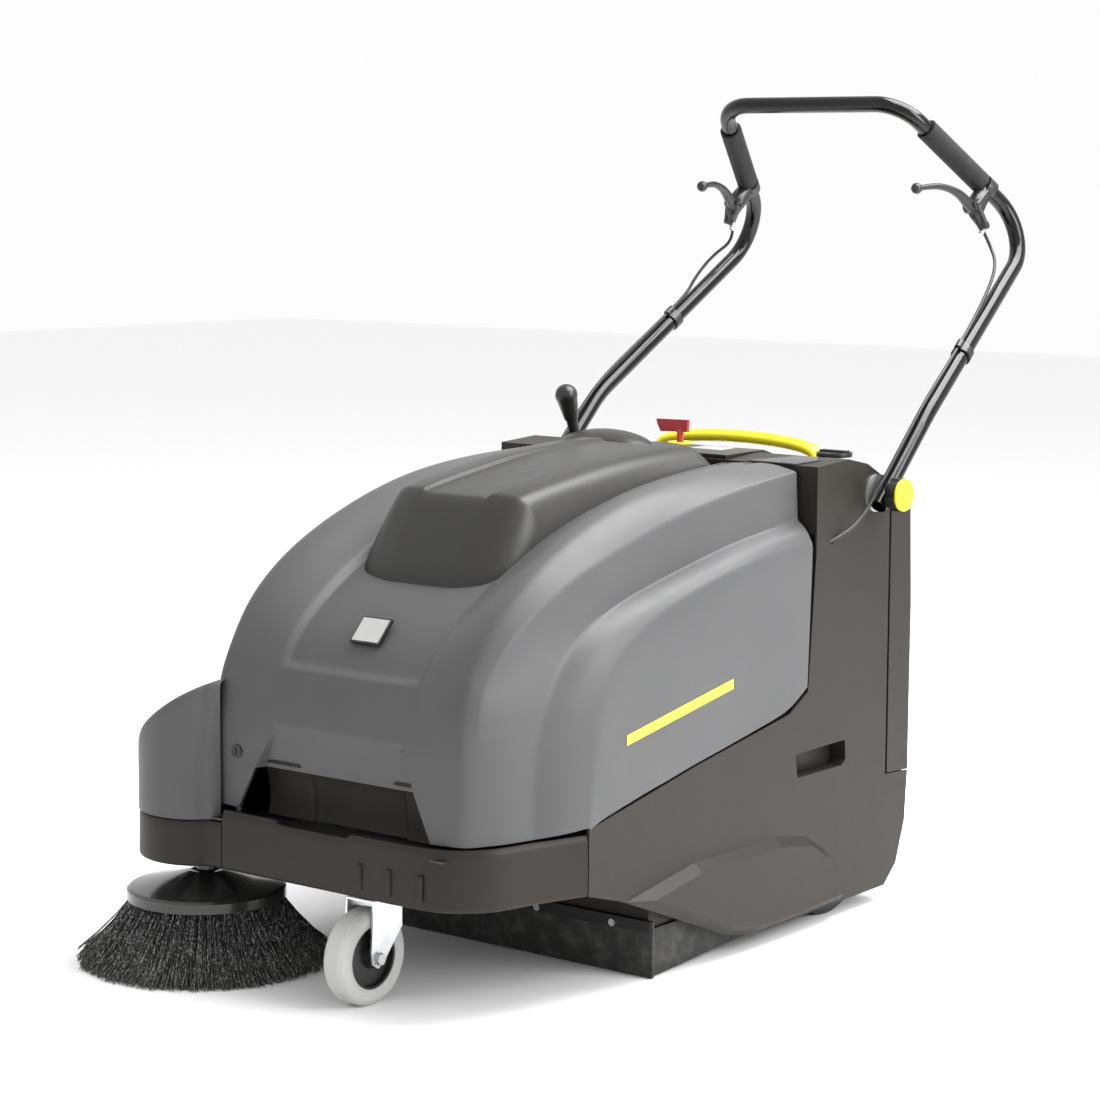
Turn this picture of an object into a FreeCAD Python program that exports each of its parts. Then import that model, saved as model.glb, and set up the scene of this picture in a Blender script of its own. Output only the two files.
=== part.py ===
import FreeCAD, Part
import math
import os

os.makedirs("parts", exist_ok=True)
V = FreeCAD.Vector

# Walk behind sweeper, millimetres. Z is up, the floor is Z = 0, the front faces -Y.
# Shapes are drawn about the machine's centreline (X = 0) and moved by MID_X when they are
# written, so that the origin is under the middle of the whole machine's box.

# ---- driving dimensions -------------------------------------------------------------------
BODY_HALF = 284.0          # half width over the side panels
WALL = 4.0                 # wall of the plastic mouldings
GAP = 1.5                  # clearance between mouldings that move apart
RUN = 0.05                 # radial clearance of a shaft in its hole
LOOSE = 0.6                # clearance of a screw or stud in its hole

HOOD_FRONT = -581.0        # front face of the hood
HOOD_REAR = 98.0          # rear edge of the hood
HOOD_BASE = 229.0          # lower edge of the hood at the front
HINGE_Y = 88.0             # hood hinge, just under the rear edge of the hood
HINGE_Z = 643.5
HOOD_GAP = 8.0             # hood to rear deck
DECK_Z = 655.0             # top of the rear deck
DECK_REAR = 298.0          # rear edge of the deck and side panels

PAN_Z = 152.0              # underside of the chassis pan
PAN_T = 6.0
BUMPER_FRONT = -600.0
BUMPER_TOP = 226.0

ROLLER_R = 115.0           # main roller over its bristles
ROLLER_HALF = 247.0
ROLLER_Y = -115.0
FLOOR_GAP = 1.0            # bristles and flaps stay this far off the floor
TUNNEL_GAP = 10.0          # roller bristles to tunnel wall
TUNNEL_END = 252.0         # inner face of the tunnel's end walls

WHEEL_R = 100.0            # rear wheels
WHEEL_T = 40.0
WHEEL_C = 243.0            # rear wheel middle from the centreline
WHEEL_Y = 190.0
AXLE_R = 10.0

BRUSH_C = -269.0           # side brush axis
BRUSH_Y = -538.0
BRUSH_R = 177.0            # bristle circle on the floor
DISC_R = 107.0
DISC_Z = 86.0              # lower rim of the side brush disc
LOBE_R = 90.0              # brush housing round the brush axis
LOBE_SPLIT = 209.0         # black base below, grey cap above

CASTER_C = 43.0
CASTER_WHEEL_Y = -567.0
CASTER_TRAIL = 26.0        # swivel axis behind the wheel axle
CASTER_R = 62.5
CASTER_T = 37.0
CASTER_HUB_R = 41.0

PIVOT_Y = 257.6            # push handle pivot
PIVOT_Z = 606.5
LEG_C = 300.0              # handle leg at the pivot
TUBE_R = 12.4
TUBE_WALL = 2.0
GRIP_R = 17.0
STUD_R = 5.0
KNOB_R = 24.0
KNOB_FACE = 335.0          # outer face of the clamp knob's cap

CONTAINER_HALF = 215.0     # container tub between the rear wheels
CABLE_R = 2.5

MID_X = (-(BRUSH_C - BRUSH_R) - KNOB_FACE) / 2


# ---- helpers ------------------------------------------------------------------------------
def write(name, shape):
    moved = shape.copy()
    moved.translate(V(MID_X, 0, 0))
    moved.exportStep("parts/" + name + ".step")


def box(x0, y0, z0, x1, y1, z1):
    return Part.makeBox(x1 - x0, y1 - y0, z1 - z0, V(x0, y0, z0))


def rod(start, end, radius):
    start = V(*start)
    end = V(*end)
    return Part.makeCylinder(radius, (end - start).Length, start, end - start)


def ring(start, end, outer, inner):
    return rod(start, end, outer).cut(rod(start, end, inner))


def face_yz(points, x):
    corners = [V(x, y, z) for y, z in points]
    return Part.Face(Part.makePolygon(corners + corners[:1]))


def plate_yz(points, x0, x1):
    return face_yz(points, x0).extrude(V(x1 - x0, 0, 0))


def plate_xy(points, z0, z1):
    corners = [V(x, y, z0) for x, y in points]
    return Part.Face(Part.makePolygon(corners + corners[:1])).extrude(V(0, 0, z1 - z0))


def plate_xz(points, y0, y1):
    corners = [V(x, y0, z) for x, z in points]
    return Part.Face(Part.makePolygon(corners + corners[:1])).extrude(V(0, y1 - y0, 0))


def loft_yz(profiles):
    """Solid through YZ outlines with the same number of points: (x, points) pairs."""
    wires = []
    for x, points in profiles:
        corners = [V(x, y, z) for y, z in points]
        wires.append(Part.makePolygon(corners + corners[:1]))
    return Part.makeLoft(wires, True, True)


def revolve_z(points, x, y):
    corners = [V(x + r, y, z) for r, z in points]
    face = Part.Face(Part.makePolygon(corners + corners[:1]))
    return face.revolve(V(x, y, 0), V(0, 0, 1), 360)


def revolve_x(points, y, z):
    """Turned about an X axis from (x, radius) points."""
    corners = [V(x, y, z + r) for x, r in points]
    face = Part.Face(Part.makePolygon(corners + corners[:1]))
    return face.revolve(V(0, y, z), V(1, 0, 0), 360)


def inset(points, depth):
    """Outline moved inwards by depth; the outline's turning sense doesn't matter."""
    area = sum(a[0] * b[1] - b[0] * a[1] for a, b in zip(points, points[1:] + points[:1]))
    sense = 1.0 if area > 0 else -1.0
    moved = []
    for i, (y, z) in enumerate(points):
        before = points[i - 1]
        after = points[(i + 1) % len(points)]
        in_y, in_z = y - before[0], z - before[1]
        out_y, out_z = after[0] - y, after[1] - z
        in_len, out_len = math.hypot(in_y, in_z), math.hypot(out_y, out_z)
        n1 = (-in_z / in_len * sense, in_y / in_len * sense)
        n2 = (-out_z / out_len * sense, out_y / out_len * sense)
        share = depth / (1 + n1[0] * n2[0] + n1[1] * n2[1])
        moved.append((y + (n1[0] + n2[0]) * share, z + (n1[1] + n2[1]) * share))
    return moved


def mirrored(shape):
    return shape.mirror(V(0, 0, 0), V(1, 0, 0))


def pair(shape):
    return Part.makeCompound([shape, mirrored(shape)])


def bend_path(points, radii):
    """Straight runs joined by tangent arcs, one radius at each inner point."""
    points = [V(*p) for p in points]
    edges = []
    start = points[0]
    for i in range(1, len(points) - 1):
        back = (points[i - 1] - points[i]).normalize()
        ahead = (points[i + 1] - points[i]).normalize()
        half = math.acos(max(-1.0, min(1.0, back.dot(ahead)))) / 2
        leave = radii[i - 1] / math.tan(half)
        first = points[i] + back * leave
        last = points[i] + ahead * leave
        middle = (back + ahead).normalize()
        centre = points[i] + middle * (radii[i - 1] / math.sin(half))
        top = centre - middle * radii[i - 1]
        edges.append(Part.LineSegment(start, first).toShape())
        edges.append(Part.Arc(first, top, last).toShape())
        start = last
    edges.append(Part.LineSegment(start, points[-1]).toShape())
    return Part.Wire(edges)


def tube_on(path, radius):
    edge = path.OrderedEdges[0]
    start = edge.valueAt(edge.FirstParameter)
    section = Part.Wire(Part.makeCircle(radius, start, edge.tangentAt(edge.FirstParameter)))
    return path.makePipeShell([section], True, False)


def cable_radii(points):
    """Arc radii of a cable: as large as each point's two runs allow."""
    corners = [V(*p) for p in points]
    radii = []
    for i in range(1, len(corners) - 1):
        back = corners[i] - corners[i - 1]
        ahead = corners[i + 1] - corners[i]
        turn = back.getAngle(ahead)
        radii.append(0.45 * min(back.Length, ahead.Length) / math.tan(turn / 2))
    return radii


# ---- hood and cowl ------------------------------------------------------------------------
# Each outline runs from the front lower corner up over the top to the rear edge, in (y, z).
CROWN = [(HOOD_FRONT, HOOD_BASE), (-579, 285), (-569, 355), (-546, 425), (-512, 475), (-413, 537),
         (-300, 588), (-200, 615), (-113, 634), (0, 647), (HOOD_REAR, 652)]
RIDGE = [(-577, HOOD_BASE), (-580, 300), (-575, 385), (-556, 440), (-510, 505), (-425, 571),
         (-345, 605), (-243, 636), (-150, 652), (-50, 659), (HOOD_REAR, 657)]
SHOULDER = [(-556, HOOD_BASE), (-560, 300), (-548, 385), (-520, 450), (-470, 507), (-392, 553),
            (-292, 590), (-200, 616), (-114, 630), (-20, 640), (HOOD_REAR, 644)]
FLANK = [(-482, HOOD_BASE), (-480, 290), (-470, 350), (-448, 405), (-412, 446), (-345, 488),
         (-280, 512), (-200, 532), (-114, 552), (-20, 570), (HOOD_REAR, 592)]
BULGE = [(-409, 262), (-403, 300), (-393, 345), (-374, 400), (-352, 430), (-316, 458),
         (-262, 484), (-180, 506), (-100, 524), (-20, 536), (HOOD_REAR, 546)]
LEFT_BULGE_START = -380.0
CROWN_HALF = 128.0
RIDGE_HALF = 205.0
SHOULDER_HALF = 243.0
FLANK_HALF = 258.0


def hood_edge():
    """Lower edge of the cowl, from the rear corner to the front."""
    return [(HOOD_REAR, 530), (87, 344), (43, 319), (-172, 283), (-410, 237)]


def cowl_profile(top):
    return top + hood_edge()


def hood_bottom_at(y):
    """Height of the cowl's lower edge at a place along the machine."""
    edge = sorted(hood_edge())
    if y <= edge[0][0]:
        return HOOD_BASE
    for (y0, z0), (y1, z1) in zip(edge, edge[1:]):
        if y <= y1:
            return z0 + (z1 - z0) * (y - y0) / (y1 - y0)
    return edge[-1][1]


def hood_solid(depth):
    """Closed outer form of the hood, moved in by depth."""
    half = [(CROWN_HALF, CROWN), (RIDGE_HALF, RIDGE), (SHOULDER_HALF - depth, SHOULDER)]
    sections = [(x, inset(cowl_profile(top), depth)) for x, top in half]
    return loft_yz([(-x, points) for x, points in reversed(sections)] + sections)


def bulge_solid(side, depth, front):
    """Side blister of the cowl, from the flank out to the body's full width."""
    def trimmed(top):
        if front is None:
            return top
        kept = [(y, z) for y, z in top if y > front + 30]
        return [(front, hood_bottom_at(front)), (front + 6, kept[0][1] - 24)] + kept
    inner = trimmed(FLANK) + hood_edge()
    outer = trimmed(BULGE) + hood_edge()
    if front is not None:
        inner = inner[:-1]
        outer = outer[:-1]
    x0 = (SHOULDER_HALF - 2 * WALL) * side
    x1 = (SHOULDER_HALF - depth) * side
    x2 = (BODY_HALF - depth) * side
    profiles = [(x0, inset(inner, depth)), (x1, inset(inner, depth)), (x2, inset(outer, depth))]
    if depth == 0:
        profiles = profiles[1:]
    return loft_yz(profiles)


def front_cutout():
    """Hand recess under the front edge of the hood."""
    return plate_xz([(-166, HOOD_BASE - 5), (-135, 285), (135, 285), (166, HOOD_BASE - 5)],
                    HOOD_FRONT - 30, HOOD_FRONT + 60)


LOCK_C, LOCK_Z, LOCK_R = -170.0, 303.0, 9.0


def hood_outer():
    whole = hood_solid(0).fuse([bulge_solid(1, 0, None), bulge_solid(-1, 0, LEFT_BULGE_START)])
    return whole.removeSplitter()


def hood_shell():
    outer = hood_outer()
    inner = hood_solid(WALL)
    right = bulge_solid(1, WALL, None)
    left = bulge_solid(-1, WALL, LEFT_BULGE_START)
    shell = outer
    for form in (inner, right, left):
        for shift in (V(0, 0, 0), V(0, 0, -4 * WALL), V(0, 4 * WALL, 0)):
            moved = form.copy()
            moved.translate(shift)
            shell = shell.cut(moved)
    for side in (-1, 1):
        for lug in HINGE_AT:
            x = side * lug
            shell = shell.cut(box(x - 4, HINGE_Y - 12, HINGE_Z - 40, x + 4, HOOD_REAR + 5, HINGE_Z + 40))
    shell = shell.cut(front_cutout())
    shell = shell.cut(rod((LOCK_C, HOOD_FRONT - 40, LOCK_Z), (LOCK_C, HOOD_FRONT + 80, LOCK_Z),
                          LOCK_R + LOOSE))
    return max(shell.Solids, key=lambda s: s.Volume)


DOME_REAR = 70.0
DOME_FRONT = [(-416, 515), (-408, 552), (-340, 637), (-300, 643), (-200, 658), (-113, 670), (0, 676),
              (DOME_REAR - 12, 676), (DOME_REAR, 668)]
DOME_HALF_LOW = 129.0
DOME_HALF_TOP = 112.0


def dome_form(depth):
    base = [(DOME_REAR, 560), (-300, 515)]
    top = DOME_FRONT + base
    edge = [(y + (6 if i < 3 else 0), z - (10 if 2 <= i < 9 else 0)) for i, (y, z) in enumerate(DOME_FRONT)]
    skirt = [(y + 10, min(z, 600 if y < -250 else 640)) for y, z in DOME_FRONT[:-1]]
    skirt = skirt + [(DOME_REAR, 641)]
    outline = [(-DOME_HALF_LOW + depth, skirt), (-DOME_HALF_TOP, edge), (-60, top[:9]), (60, top[:9]),
               (DOME_HALF_TOP, edge), (DOME_HALF_LOW - depth, skirt)]
    return loft_yz([(x, inset(points + base, depth)) for x, points in outline])


def dome(hood_form):
    shell = dome_form(0).cut(hood_form)
    hollow = dome_form(WALL)
    hollow.translate(V(0, 0, -2))
    shell = shell.cut(hollow)
    return max(shell.Solids, key=lambda s: s.Volume)


def badge_plate(hood_form):
    plate = Part.makeBox(58, 60, 2, V(-29, -30, 0))
    plate.rotate(V(0, 0, 0), V(1, 0, 0), 37)
    plate.translate(V(0, -514, 476.5))
    return plate.cut(hood_form)


def hood_lock():
    barrel = rod((LOCK_C, HOOD_FRONT + 1.0, LOCK_Z), (LOCK_C, HOOD_FRONT + 34, LOCK_Z), LOCK_R)
    slot = box(LOCK_C - 1.2, HOOD_FRONT - 1, LOCK_Z - 4, LOCK_C + 1.2, HOOD_FRONT + 5, LOCK_Z + 4)
    tongue = box(LOCK_C - 6, HOOD_FRONT + 30, LOCK_Z - 32, LOCK_C + 6, HOOD_FRONT + 34, LOCK_Z)
    return barrel.cut(slot).fuse(tongue)


# ---- chassis ------------------------------------------------------------------------------
ROLLER_Z = ROLLER_R + FLOOR_GAP
TUNNEL_R = ROLLER_R + TUNNEL_GAP
TUNNEL_FRONT = ROLLER_Y - TUNNEL_R - WALL
TRAY_Z = ROLLER_Z + TUNNEL_R + WALL
PANEL_IN = BODY_HALF - WALL
CASTER_PIVOT_Y = CASTER_WHEEL_Y + CASTER_TRAIL
BELT_C = 268.0
BELT_W = 12.0
MOTOR_Y, MOTOR_Z, MOTOR_R = -345.0, 222.0, 50.0
MOTOR_PULLEY_R, ROLLER_PULLEY_R = 24.0, 42.0
GUIDE_R = 5.0
GUIDE_OFF = 62.0
SPINDLE_R = 14.0
LOWER_Z = 60.0             # lower edge of the chassis side plates
BATTERY = (300.0, 180.0, 205.0)
FILTER_Z = 440.0
FAN_C, FAN_Y, FAN_Z, FAN_R = -20.0, 200.0, 560.0, 78.0


def chassis_frame():
    half_ring = ring((-TUNNEL_END - WALL, ROLLER_Y, ROLLER_Z), (TUNNEL_END + WALL, ROLLER_Y, ROLLER_Z),
                     TUNNEL_R + WALL, TUNNEL_R)
    below = box(-300, ROLLER_Y - 200, -200, 300, ROLLER_Y + 200, ROLLER_Z)
    frame = half_ring.cut(below)
    front_wall = box(-TUNNEL_END - WALL, TUNNEL_FRONT, LOWER_Z, TUNNEL_END + WALL, TUNNEL_FRONT + WALL,
                     ROLLER_Z)
    pan = plate_xy([(-BODY_HALF + 20, -430), (BRUSH_C - LOBE_R + 16, BRUSH_Y - 20),
                    (BRUSH_C, BRUSH_Y - LOBE_R + 14),
                    (-200, BUMPER_FRONT + 12), (150, BUMPER_FRONT + 12), (190, -578), (224, -553),
                    (243, -518),
                    (249, -484), (PANEL_IN - 2, -402), (PANEL_IN - 2, TUNNEL_FRONT + WALL),
                    (-PANEL_IN + 2, TUNNEL_FRONT + WALL), (-PANEL_IN + 2, -430)], PAN_Z, PAN_Z + PAN_T)
    pan = pan.cut(rod((BRUSH_C, BRUSH_Y, 100), (BRUSH_C, BRUSH_Y, 200), 50))
    upright = box(-TUNNEL_END - WALL, TUNNEL_FRONT, PAN_Z, TUNNEL_END + WALL, TUNNEL_FRONT + WALL, TRAY_Z)
    tray = box(-TUNNEL_END - WALL, TUNNEL_FRONT, TRAY_Z - 2, TUNNEL_END + WALL, ROLLER_Y + TUNNEL_R,
               TRAY_Z + WALL)
    parts = [front_wall, pan, upright, tray]
    for side in (-1, 1):
        x0, x1 = sorted((side * TUNNEL_END, side * (TUNNEL_END + WALL)))
        end = plate_yz([(TUNNEL_FRONT, LOWER_Z), (TUNNEL_FRONT, TRAY_Z), (8, TRAY_Z), (8, LOWER_Z)], x0, x1)
        x2, x3 = sorted((side * (WHEEL_C + WHEEL_T / 2 + 6), side * (WHEEL_C + WHEEL_T / 2 + 6 + WALL)))
        rear = plate_yz([(-60, TRAY_Z - 40), (-60, TRAY_Z + WALL), (112, 400), (112, 600), (285, 600),
                         (285, 120), (160, 60), (104, 60), (104, TRAY_Z - 40)], x2, x3)
        x4, x5 = sorted((side * (TUNNEL_END + WALL), side * (WHEEL_C + WHEEL_T / 2 + 6)))
        web = box(x4, -60, TRAY_Z - 30, x5, 8, TRAY_Z + WALL)
        parts += [end, rear, web]
    shelf = box(-WHEEL_C - WHEEL_T / 2 - 7, 112, FILTER_Z - 8, WHEEL_C + WHEEL_T / 2 + 7, 285, FILTER_Z - 4)
    shelf = shelf.cut(box(-180, 125, FILTER_Z - 20, 180, 265, FILTER_Z))
    frame = frame.fuse(parts + [shelf])
    bore = rod((-300, ROLLER_Y, ROLLER_Z), (300, ROLLER_Y, ROLLER_Z), 24)
    frame = frame.cut(bore)
    for side in (-1, 1):
        x0, x1 = sorted((side * (BODY_HALF - POCKET_DEPTH - GAP), side * 300))
        frame = frame.cut(box(x0, POCKET[1][0] - 2 * WALL, POCKET[0][1] - 2 * WALL, x1,
                              POCKET[3][0] + 2 * WALL,
                              POCKET[2][1] + 2 * WALL))
    slot = box(BELT_C - BELT_W, MOTOR_Y, PAN_Z - 10, BELT_C + BELT_W, TUNNEL_FRONT + 20, TRAY_Z - 20)
    frame = frame.cut(slot)
    for off in (-GUIDE_OFF, GUIDE_OFF):
        frame = frame.cut(rod((BRUSH_C + off, BRUSH_Y, 100), (BRUSH_C + off, BRUSH_Y, 200), GUIDE_R))
    for x, y in caster_holes():
        frame = frame.cut(rod((x, y, PAN_Z - 1), (x, y, PAN_Z + PAN_T + 1), 4.0))
    for side in (-1, 1):
        x = side * WHEEL_C
        frame = frame.cut(rod((x, WHEEL_Y, WHEEL_R), (x * 1.3, WHEEL_Y, WHEEL_R), AXLE_R))
    return max(frame.removeSplitter().Solids, key=lambda s: s.Volume)


def bumper_plan(depth):
    """Plan outline of the front bumper, from the right side panel round to the brush housing."""
    return [(BODY_HALF - depth, -412), (258 - depth, -482), (252 - depth, -520),
            (234 - 0.7 * depth, -561 + 0.3 * depth),
            (200 - 0.3 * depth, -590 + 0.9 * depth), (150, BUMPER_FRONT + depth),
            (-178, BUMPER_FRONT + depth)]


def front_bumper():
    outer = bumper_plan(0)
    inner = bumper_plan(WALL)
    wall = plate_xy(outer + list(reversed(inner)), PAN_Z - 4, BUMPER_TOP)
    shelf_outer = bumper_plan(WALL) + [(-178, -550), (180, -550), (214, -520), (225, -412)]
    shelf = plate_xy(shelf_outer, PAN_Z + PAN_T, PAN_Z + PAN_T + WALL)
    bumper = wall.fuse(shelf)
    for x in (65.0, 114.0, 165.0):
        rib = rod((x, BUMPER_FRONT + 1, PAN_Z + 6), (x, BUMPER_FRONT + 1, PAN_Z + 40), 4.0)
        bumper = bumper.fuse(rib)
    return max(bumper.removeSplitter().Solids, key=lambda s: s.Volume)


def cap_plan(depth):
    """Plan outline of the grey cap, which runs from the hood's corner round the brush axis."""
    r = LOBE_R - depth
    points = [(-212 - depth, -548), (-212 - depth, -590)]
    for i in range(13):
        angle = math.radians(-54 - i * 126 / 12)
        points.append((BRUSH_C + r * math.cos(angle), BRUSH_Y + r * math.sin(angle)))
    return points + [(-BODY_HALF - 22 + depth, -440 - depth), (-BODY_HALF + depth, -412 - depth),
                     (-212 - depth, -412 - depth)]


def lobe_plan(depth, inner_x):
    """Plan outline of the brush housing: round the brush axis, then back to the side panel."""
    r = LOBE_R - depth
    points = []
    for i in range(13):
        angle = math.radians(-50 - i * 130 / 12)
        points.append((BRUSH_C + r * math.cos(angle), BRUSH_Y + r * math.sin(angle)))
    points = [(inner_x, BUMPER_FRONT + depth)] + points
    points += [(-BODY_HALF - 22 + depth, -440 - depth), (-BODY_HALF + depth, -412 - depth),
               (inner_x, -412 - depth)]
    return points


def housing_base():
    base = plate_xy(lobe_plan(0, -178.5), PAN_Z - 4, LOBE_SPLIT)
    base = base.cut(plate_xy(lobe_plan(WALL, -100), 100, 300))
    roof = plate_xy(lobe_plan(WALL, -184), PAN_Z + PAN_T, PAN_Z + PAN_T + WALL)
    roof = roof.cut(rod((BRUSH_C, BRUSH_Y, 100), (BRUSH_C, BRUSH_Y, 300), 78))
    roof = roof.cut(box(-246, -700, 100, 0, -300, 300))
    lip = box(-207, BUMPER_FRONT, LOBE_SPLIT - 8, -178.5, BUMPER_FRONT + WALL, BUMPER_TOP)
    tab = box(-200, BUMPER_FRONT + WALL, PAN_Z + 10, -165, BUMPER_FRONT + WALL + 3, LOBE_SPLIT)
    base = base.fuse([roof, lip, tab])
    return max(base.removeSplitter().Solids, key=lambda s: s.Volume)


def housing_cap(hood_form):
    """Grey cap over the side brush, fixed to the hood and cut to sit against it."""
    cap = plate_xy(cap_plan(0), LOBE_SPLIT + 1, 378)
    hollow = plate_xy(cap_plan(WALL), LOBE_SPLIT, 378)
    lean = WALL / math.cos(math.radians(35))

    def roof(drop):
        return plate_xz([(-500, 200 - drop), (-362, 292 - drop), (-330, 316 - drop), (-245, 366 - drop),
                         (0, 510 - drop),
                         (0, 900), (-500, 900)], -700, -300)

    def tail(drop):
        return plate_yz([(-470, 380 - drop), (-300, 190 - drop), (-300, 600), (-470, 600)], -500, 0)

    hollow = hollow.cut(roof(lean)).cut(tail(lean))
    cap = cap.cut(hollow).cut(roof(0)).cut(tail(0)).cut(hood_form)
    under_hood = box(-SHOULDER_HALF, -570, 100, 0, -300, HOOD_BASE + 10)
    return max(cap.cut(under_hood).Solids, key=lambda s: s.Volume)


PANEL = [(-410, 147), (-341, 127), (-236, 86), (-108, 35), (-47, 21), (14, 20), (116, 23), (300, 24),
         (332, 52),
         (354, 112), (360, 186), (DECK_REAR, 190), (DECK_REAR, 604), (272, 632), (236, 650), (186, 660),
         (HOOD_REAR + HOOD_GAP, 655),
         (HOOD_REAR + HOOD_GAP, 532), (90, 341), (45, 315.5), (-172, 279.5), (-410, 233.5)]
BLISTER = [(-330, 124), (-236, 88), (-108, 37), (-47, 23), (14, 22), (183, 27), (172, 62), (140, 106),
           (88, 136), (12, 147),
           (-180, 148)]
POCKET = [(66, 222), (60, 256), (188, 258), (190, 230), (180, 222)]
POCKET_DEPTH = 30.0


def side_panel():
    panel = plate_yz(PANEL, PANEL_IN, BODY_HALF)
    blister = loft_yz([(BODY_HALF, BLISTER), (BODY_HALF + 14, inset(BLISTER, 12))])
    hollow = loft_yz([(PANEL_IN - 1, inset(BLISTER, 4)), (BODY_HALF + 10, inset(BLISTER, 15))])
    panel = panel.fuse(blister).cut(hollow)
    cup = plate_yz(inset(POCKET, -WALL), BODY_HALF - POCKET_DEPTH, PANEL_IN)
    cup = cup.cut(plate_yz(POCKET, BODY_HALF - POCKET_DEPTH + WALL, BODY_HALF))
    panel = panel.cut(plate_yz(POCKET, PANEL_IN - 1, BODY_HALF + 1)).fuse(cup)
    panel = panel.cut(rod((PANEL_IN - 2, PIVOT_Y, PIVOT_Z), (BODY_HALF + 2, PIVOT_Y, PIVOT_Z),
                          STUD_R + LOOSE))
    route = [tuple(p) for p in cable_route(CLIP_AT["right"])]
    panel = panel.cut(tube_on(bend_path(route, cable_radii(route)), CABLE_R + 1))
    return panel.removeSplitter()


def rear_deck():
    top = [(HOOD_REAR + HOOD_GAP, 650), (HOOD_REAR + HOOD_GAP, DECK_Z), (186, DECK_Z + 5), (236, 650),
           (272, 632), (DECK_REAR, 604)]
    low = [(DECK_REAR - WALL, 600), (269, 627), (234, 645), (186, DECK_Z), (HOOD_REAR + HOOD_GAP, 650)]
    deck = plate_yz(top + low[:-1], -PANEL_IN, PANEL_IN)
    apron = box(-PANEL_IN, HOOD_REAR + HOOD_GAP, 560, PANEL_IN, HOOD_REAR + HOOD_GAP + WALL, 652)
    deck = deck.fuse(apron)
    deck = deck.cut(box(LEVER_C - 9, LEVER_Y - 40, 600, LEVER_C + 9, LEVER_Y + 30, 700))
    deck = deck.cut(rod((KEY_C, KEY_Y, 600), (KEY_C, KEY_Y, 700), KEY_R))
    deck = deck.cut(rod((SHAKER_C, SHAKER_Y, 600), (SHAKER_C, SHAKER_Y, 700), 8 + LOOSE))
    return deck.fuse(lift_bearing()).removeSplitter()


LEVER_C, LEVER_Y, LEVER_Z = -225.0, 222.0, 632.0
KEY_C, KEY_Y, KEY_R = -22.0, 203.0, 9.0
SHAKER_C, SHAKER_Y = 226.0, 238.0


def control_panel():
    """Raised console on the deck, cut to sit on it."""
    pad = plate_yz([(112, 652), (112, 661.5), (208, 662), (240, 652.5), (240, 645)], -75, 125)
    top = rear_deck_block()
    pad = pad.cut(top)
    pad = pad.cut(rod((KEY_C, KEY_Y, 600), (KEY_C, KEY_Y, 700), KEY_R))
    pad = pad.cut(box(24, 158, 660.5, 80, 203, 670))
    return max(pad.Solids, key=lambda s: s.Volume)


def rear_deck_block():
    return plate_yz([(HOOD_REAR, 500), (HOOD_REAR, DECK_Z), (HOOD_REAR + HOOD_GAP, DECK_Z),
                     (186, DECK_Z + 5), (236, 650),
                     (272, 632), (DECK_REAR, 604), (DECK_REAR, 500)], -PANEL_IN, PANEL_IN)


def lift_lever():
    foot = (LEVER_C, LEVER_Y, LEVER_Z)
    lean = V(0, -26, 72).normalize()
    stem_top = V(*foot) + lean * 62
    stem = Part.makeCone(7, 9, 62, V(*foot), lean)
    knob = Part.makeCone(11, 16, 34, V(*foot) + lean * 60, lean)
    cap = Part.makeSphere(17, stem_top + lean * 36)
    hub = rod((LEVER_C - 7, LEVER_Y, LEVER_Z), (LEVER_C + 7, LEVER_Y, LEVER_Z), 12)
    lever = stem.fuse([knob, cap, hub])
    return lever.cut(rod((LEVER_C - 20, LEVER_Y, LEVER_Z), (LEVER_C + 20, LEVER_Y, LEVER_Z), 4 + RUN))


def lift_bearing():
    """Two cheeks under the deck and the pin that the lift lever turns on."""
    pin = rod((LEVER_C - 16, LEVER_Y, LEVER_Z), (LEVER_C + 16, LEVER_Y, LEVER_Z), 4)
    cheeks = [box(LEVER_C + s * 13 - 2, LEVER_Y - 12, LEVER_Z - 18, LEVER_C + s * 13 + 2, LEVER_Y + 8,
                  DECK_Z - 3)
              for s in (-1, 1)]
    return pin.fuse(cheeks)


def key_ring():
    """Switch barrel with its collar on the console."""
    barrel = rod((KEY_C, KEY_Y, 630), (KEY_C, KEY_Y, 662.5), KEY_R)
    collar = ring((KEY_C, KEY_Y, 662.5), (KEY_C, KEY_Y, 665), 19, KEY_R - 1)
    return barrel.fuse(collar).cut(rod((KEY_C, KEY_Y, 648), (KEY_C, KEY_Y, 700), 5 + RUN)).removeSplitter()


def switch_key():
    stem = rod((KEY_C, KEY_Y, 650), (KEY_C, KEY_Y, 684), 5)
    blade = plate_xz([(KEY_C - 40, 690), (KEY_C - 34, 679), (KEY_C + 14, 680), (KEY_C + 15, 698),
                      (KEY_C - 42, 697)],
                     KEY_Y - 3, KEY_Y + 3)
    return stem.fuse(blade).removeSplitter()


def shaker_knob():
    stem = rod((SHAKER_C, SHAKER_Y, 630), (SHAKER_C, SHAKER_Y, DECK_Z + 2), 8)
    head = rod((SHAKER_C, SHAKER_Y, DECK_Z + 1.5), (SHAKER_C, SHAKER_Y, DECK_Z + 8), 26)
    bar = box(SHAKER_C - 22, SHAKER_Y - 6, DECK_Z + 8, SHAKER_C + 22, SHAKER_Y + 6, DECK_Z + 11)
    return stem.fuse([head, bar]).removeSplitter()


# ---- sweeping gear ------------------------------------------------------------------------
SHAFT_R = 12.0


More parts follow.
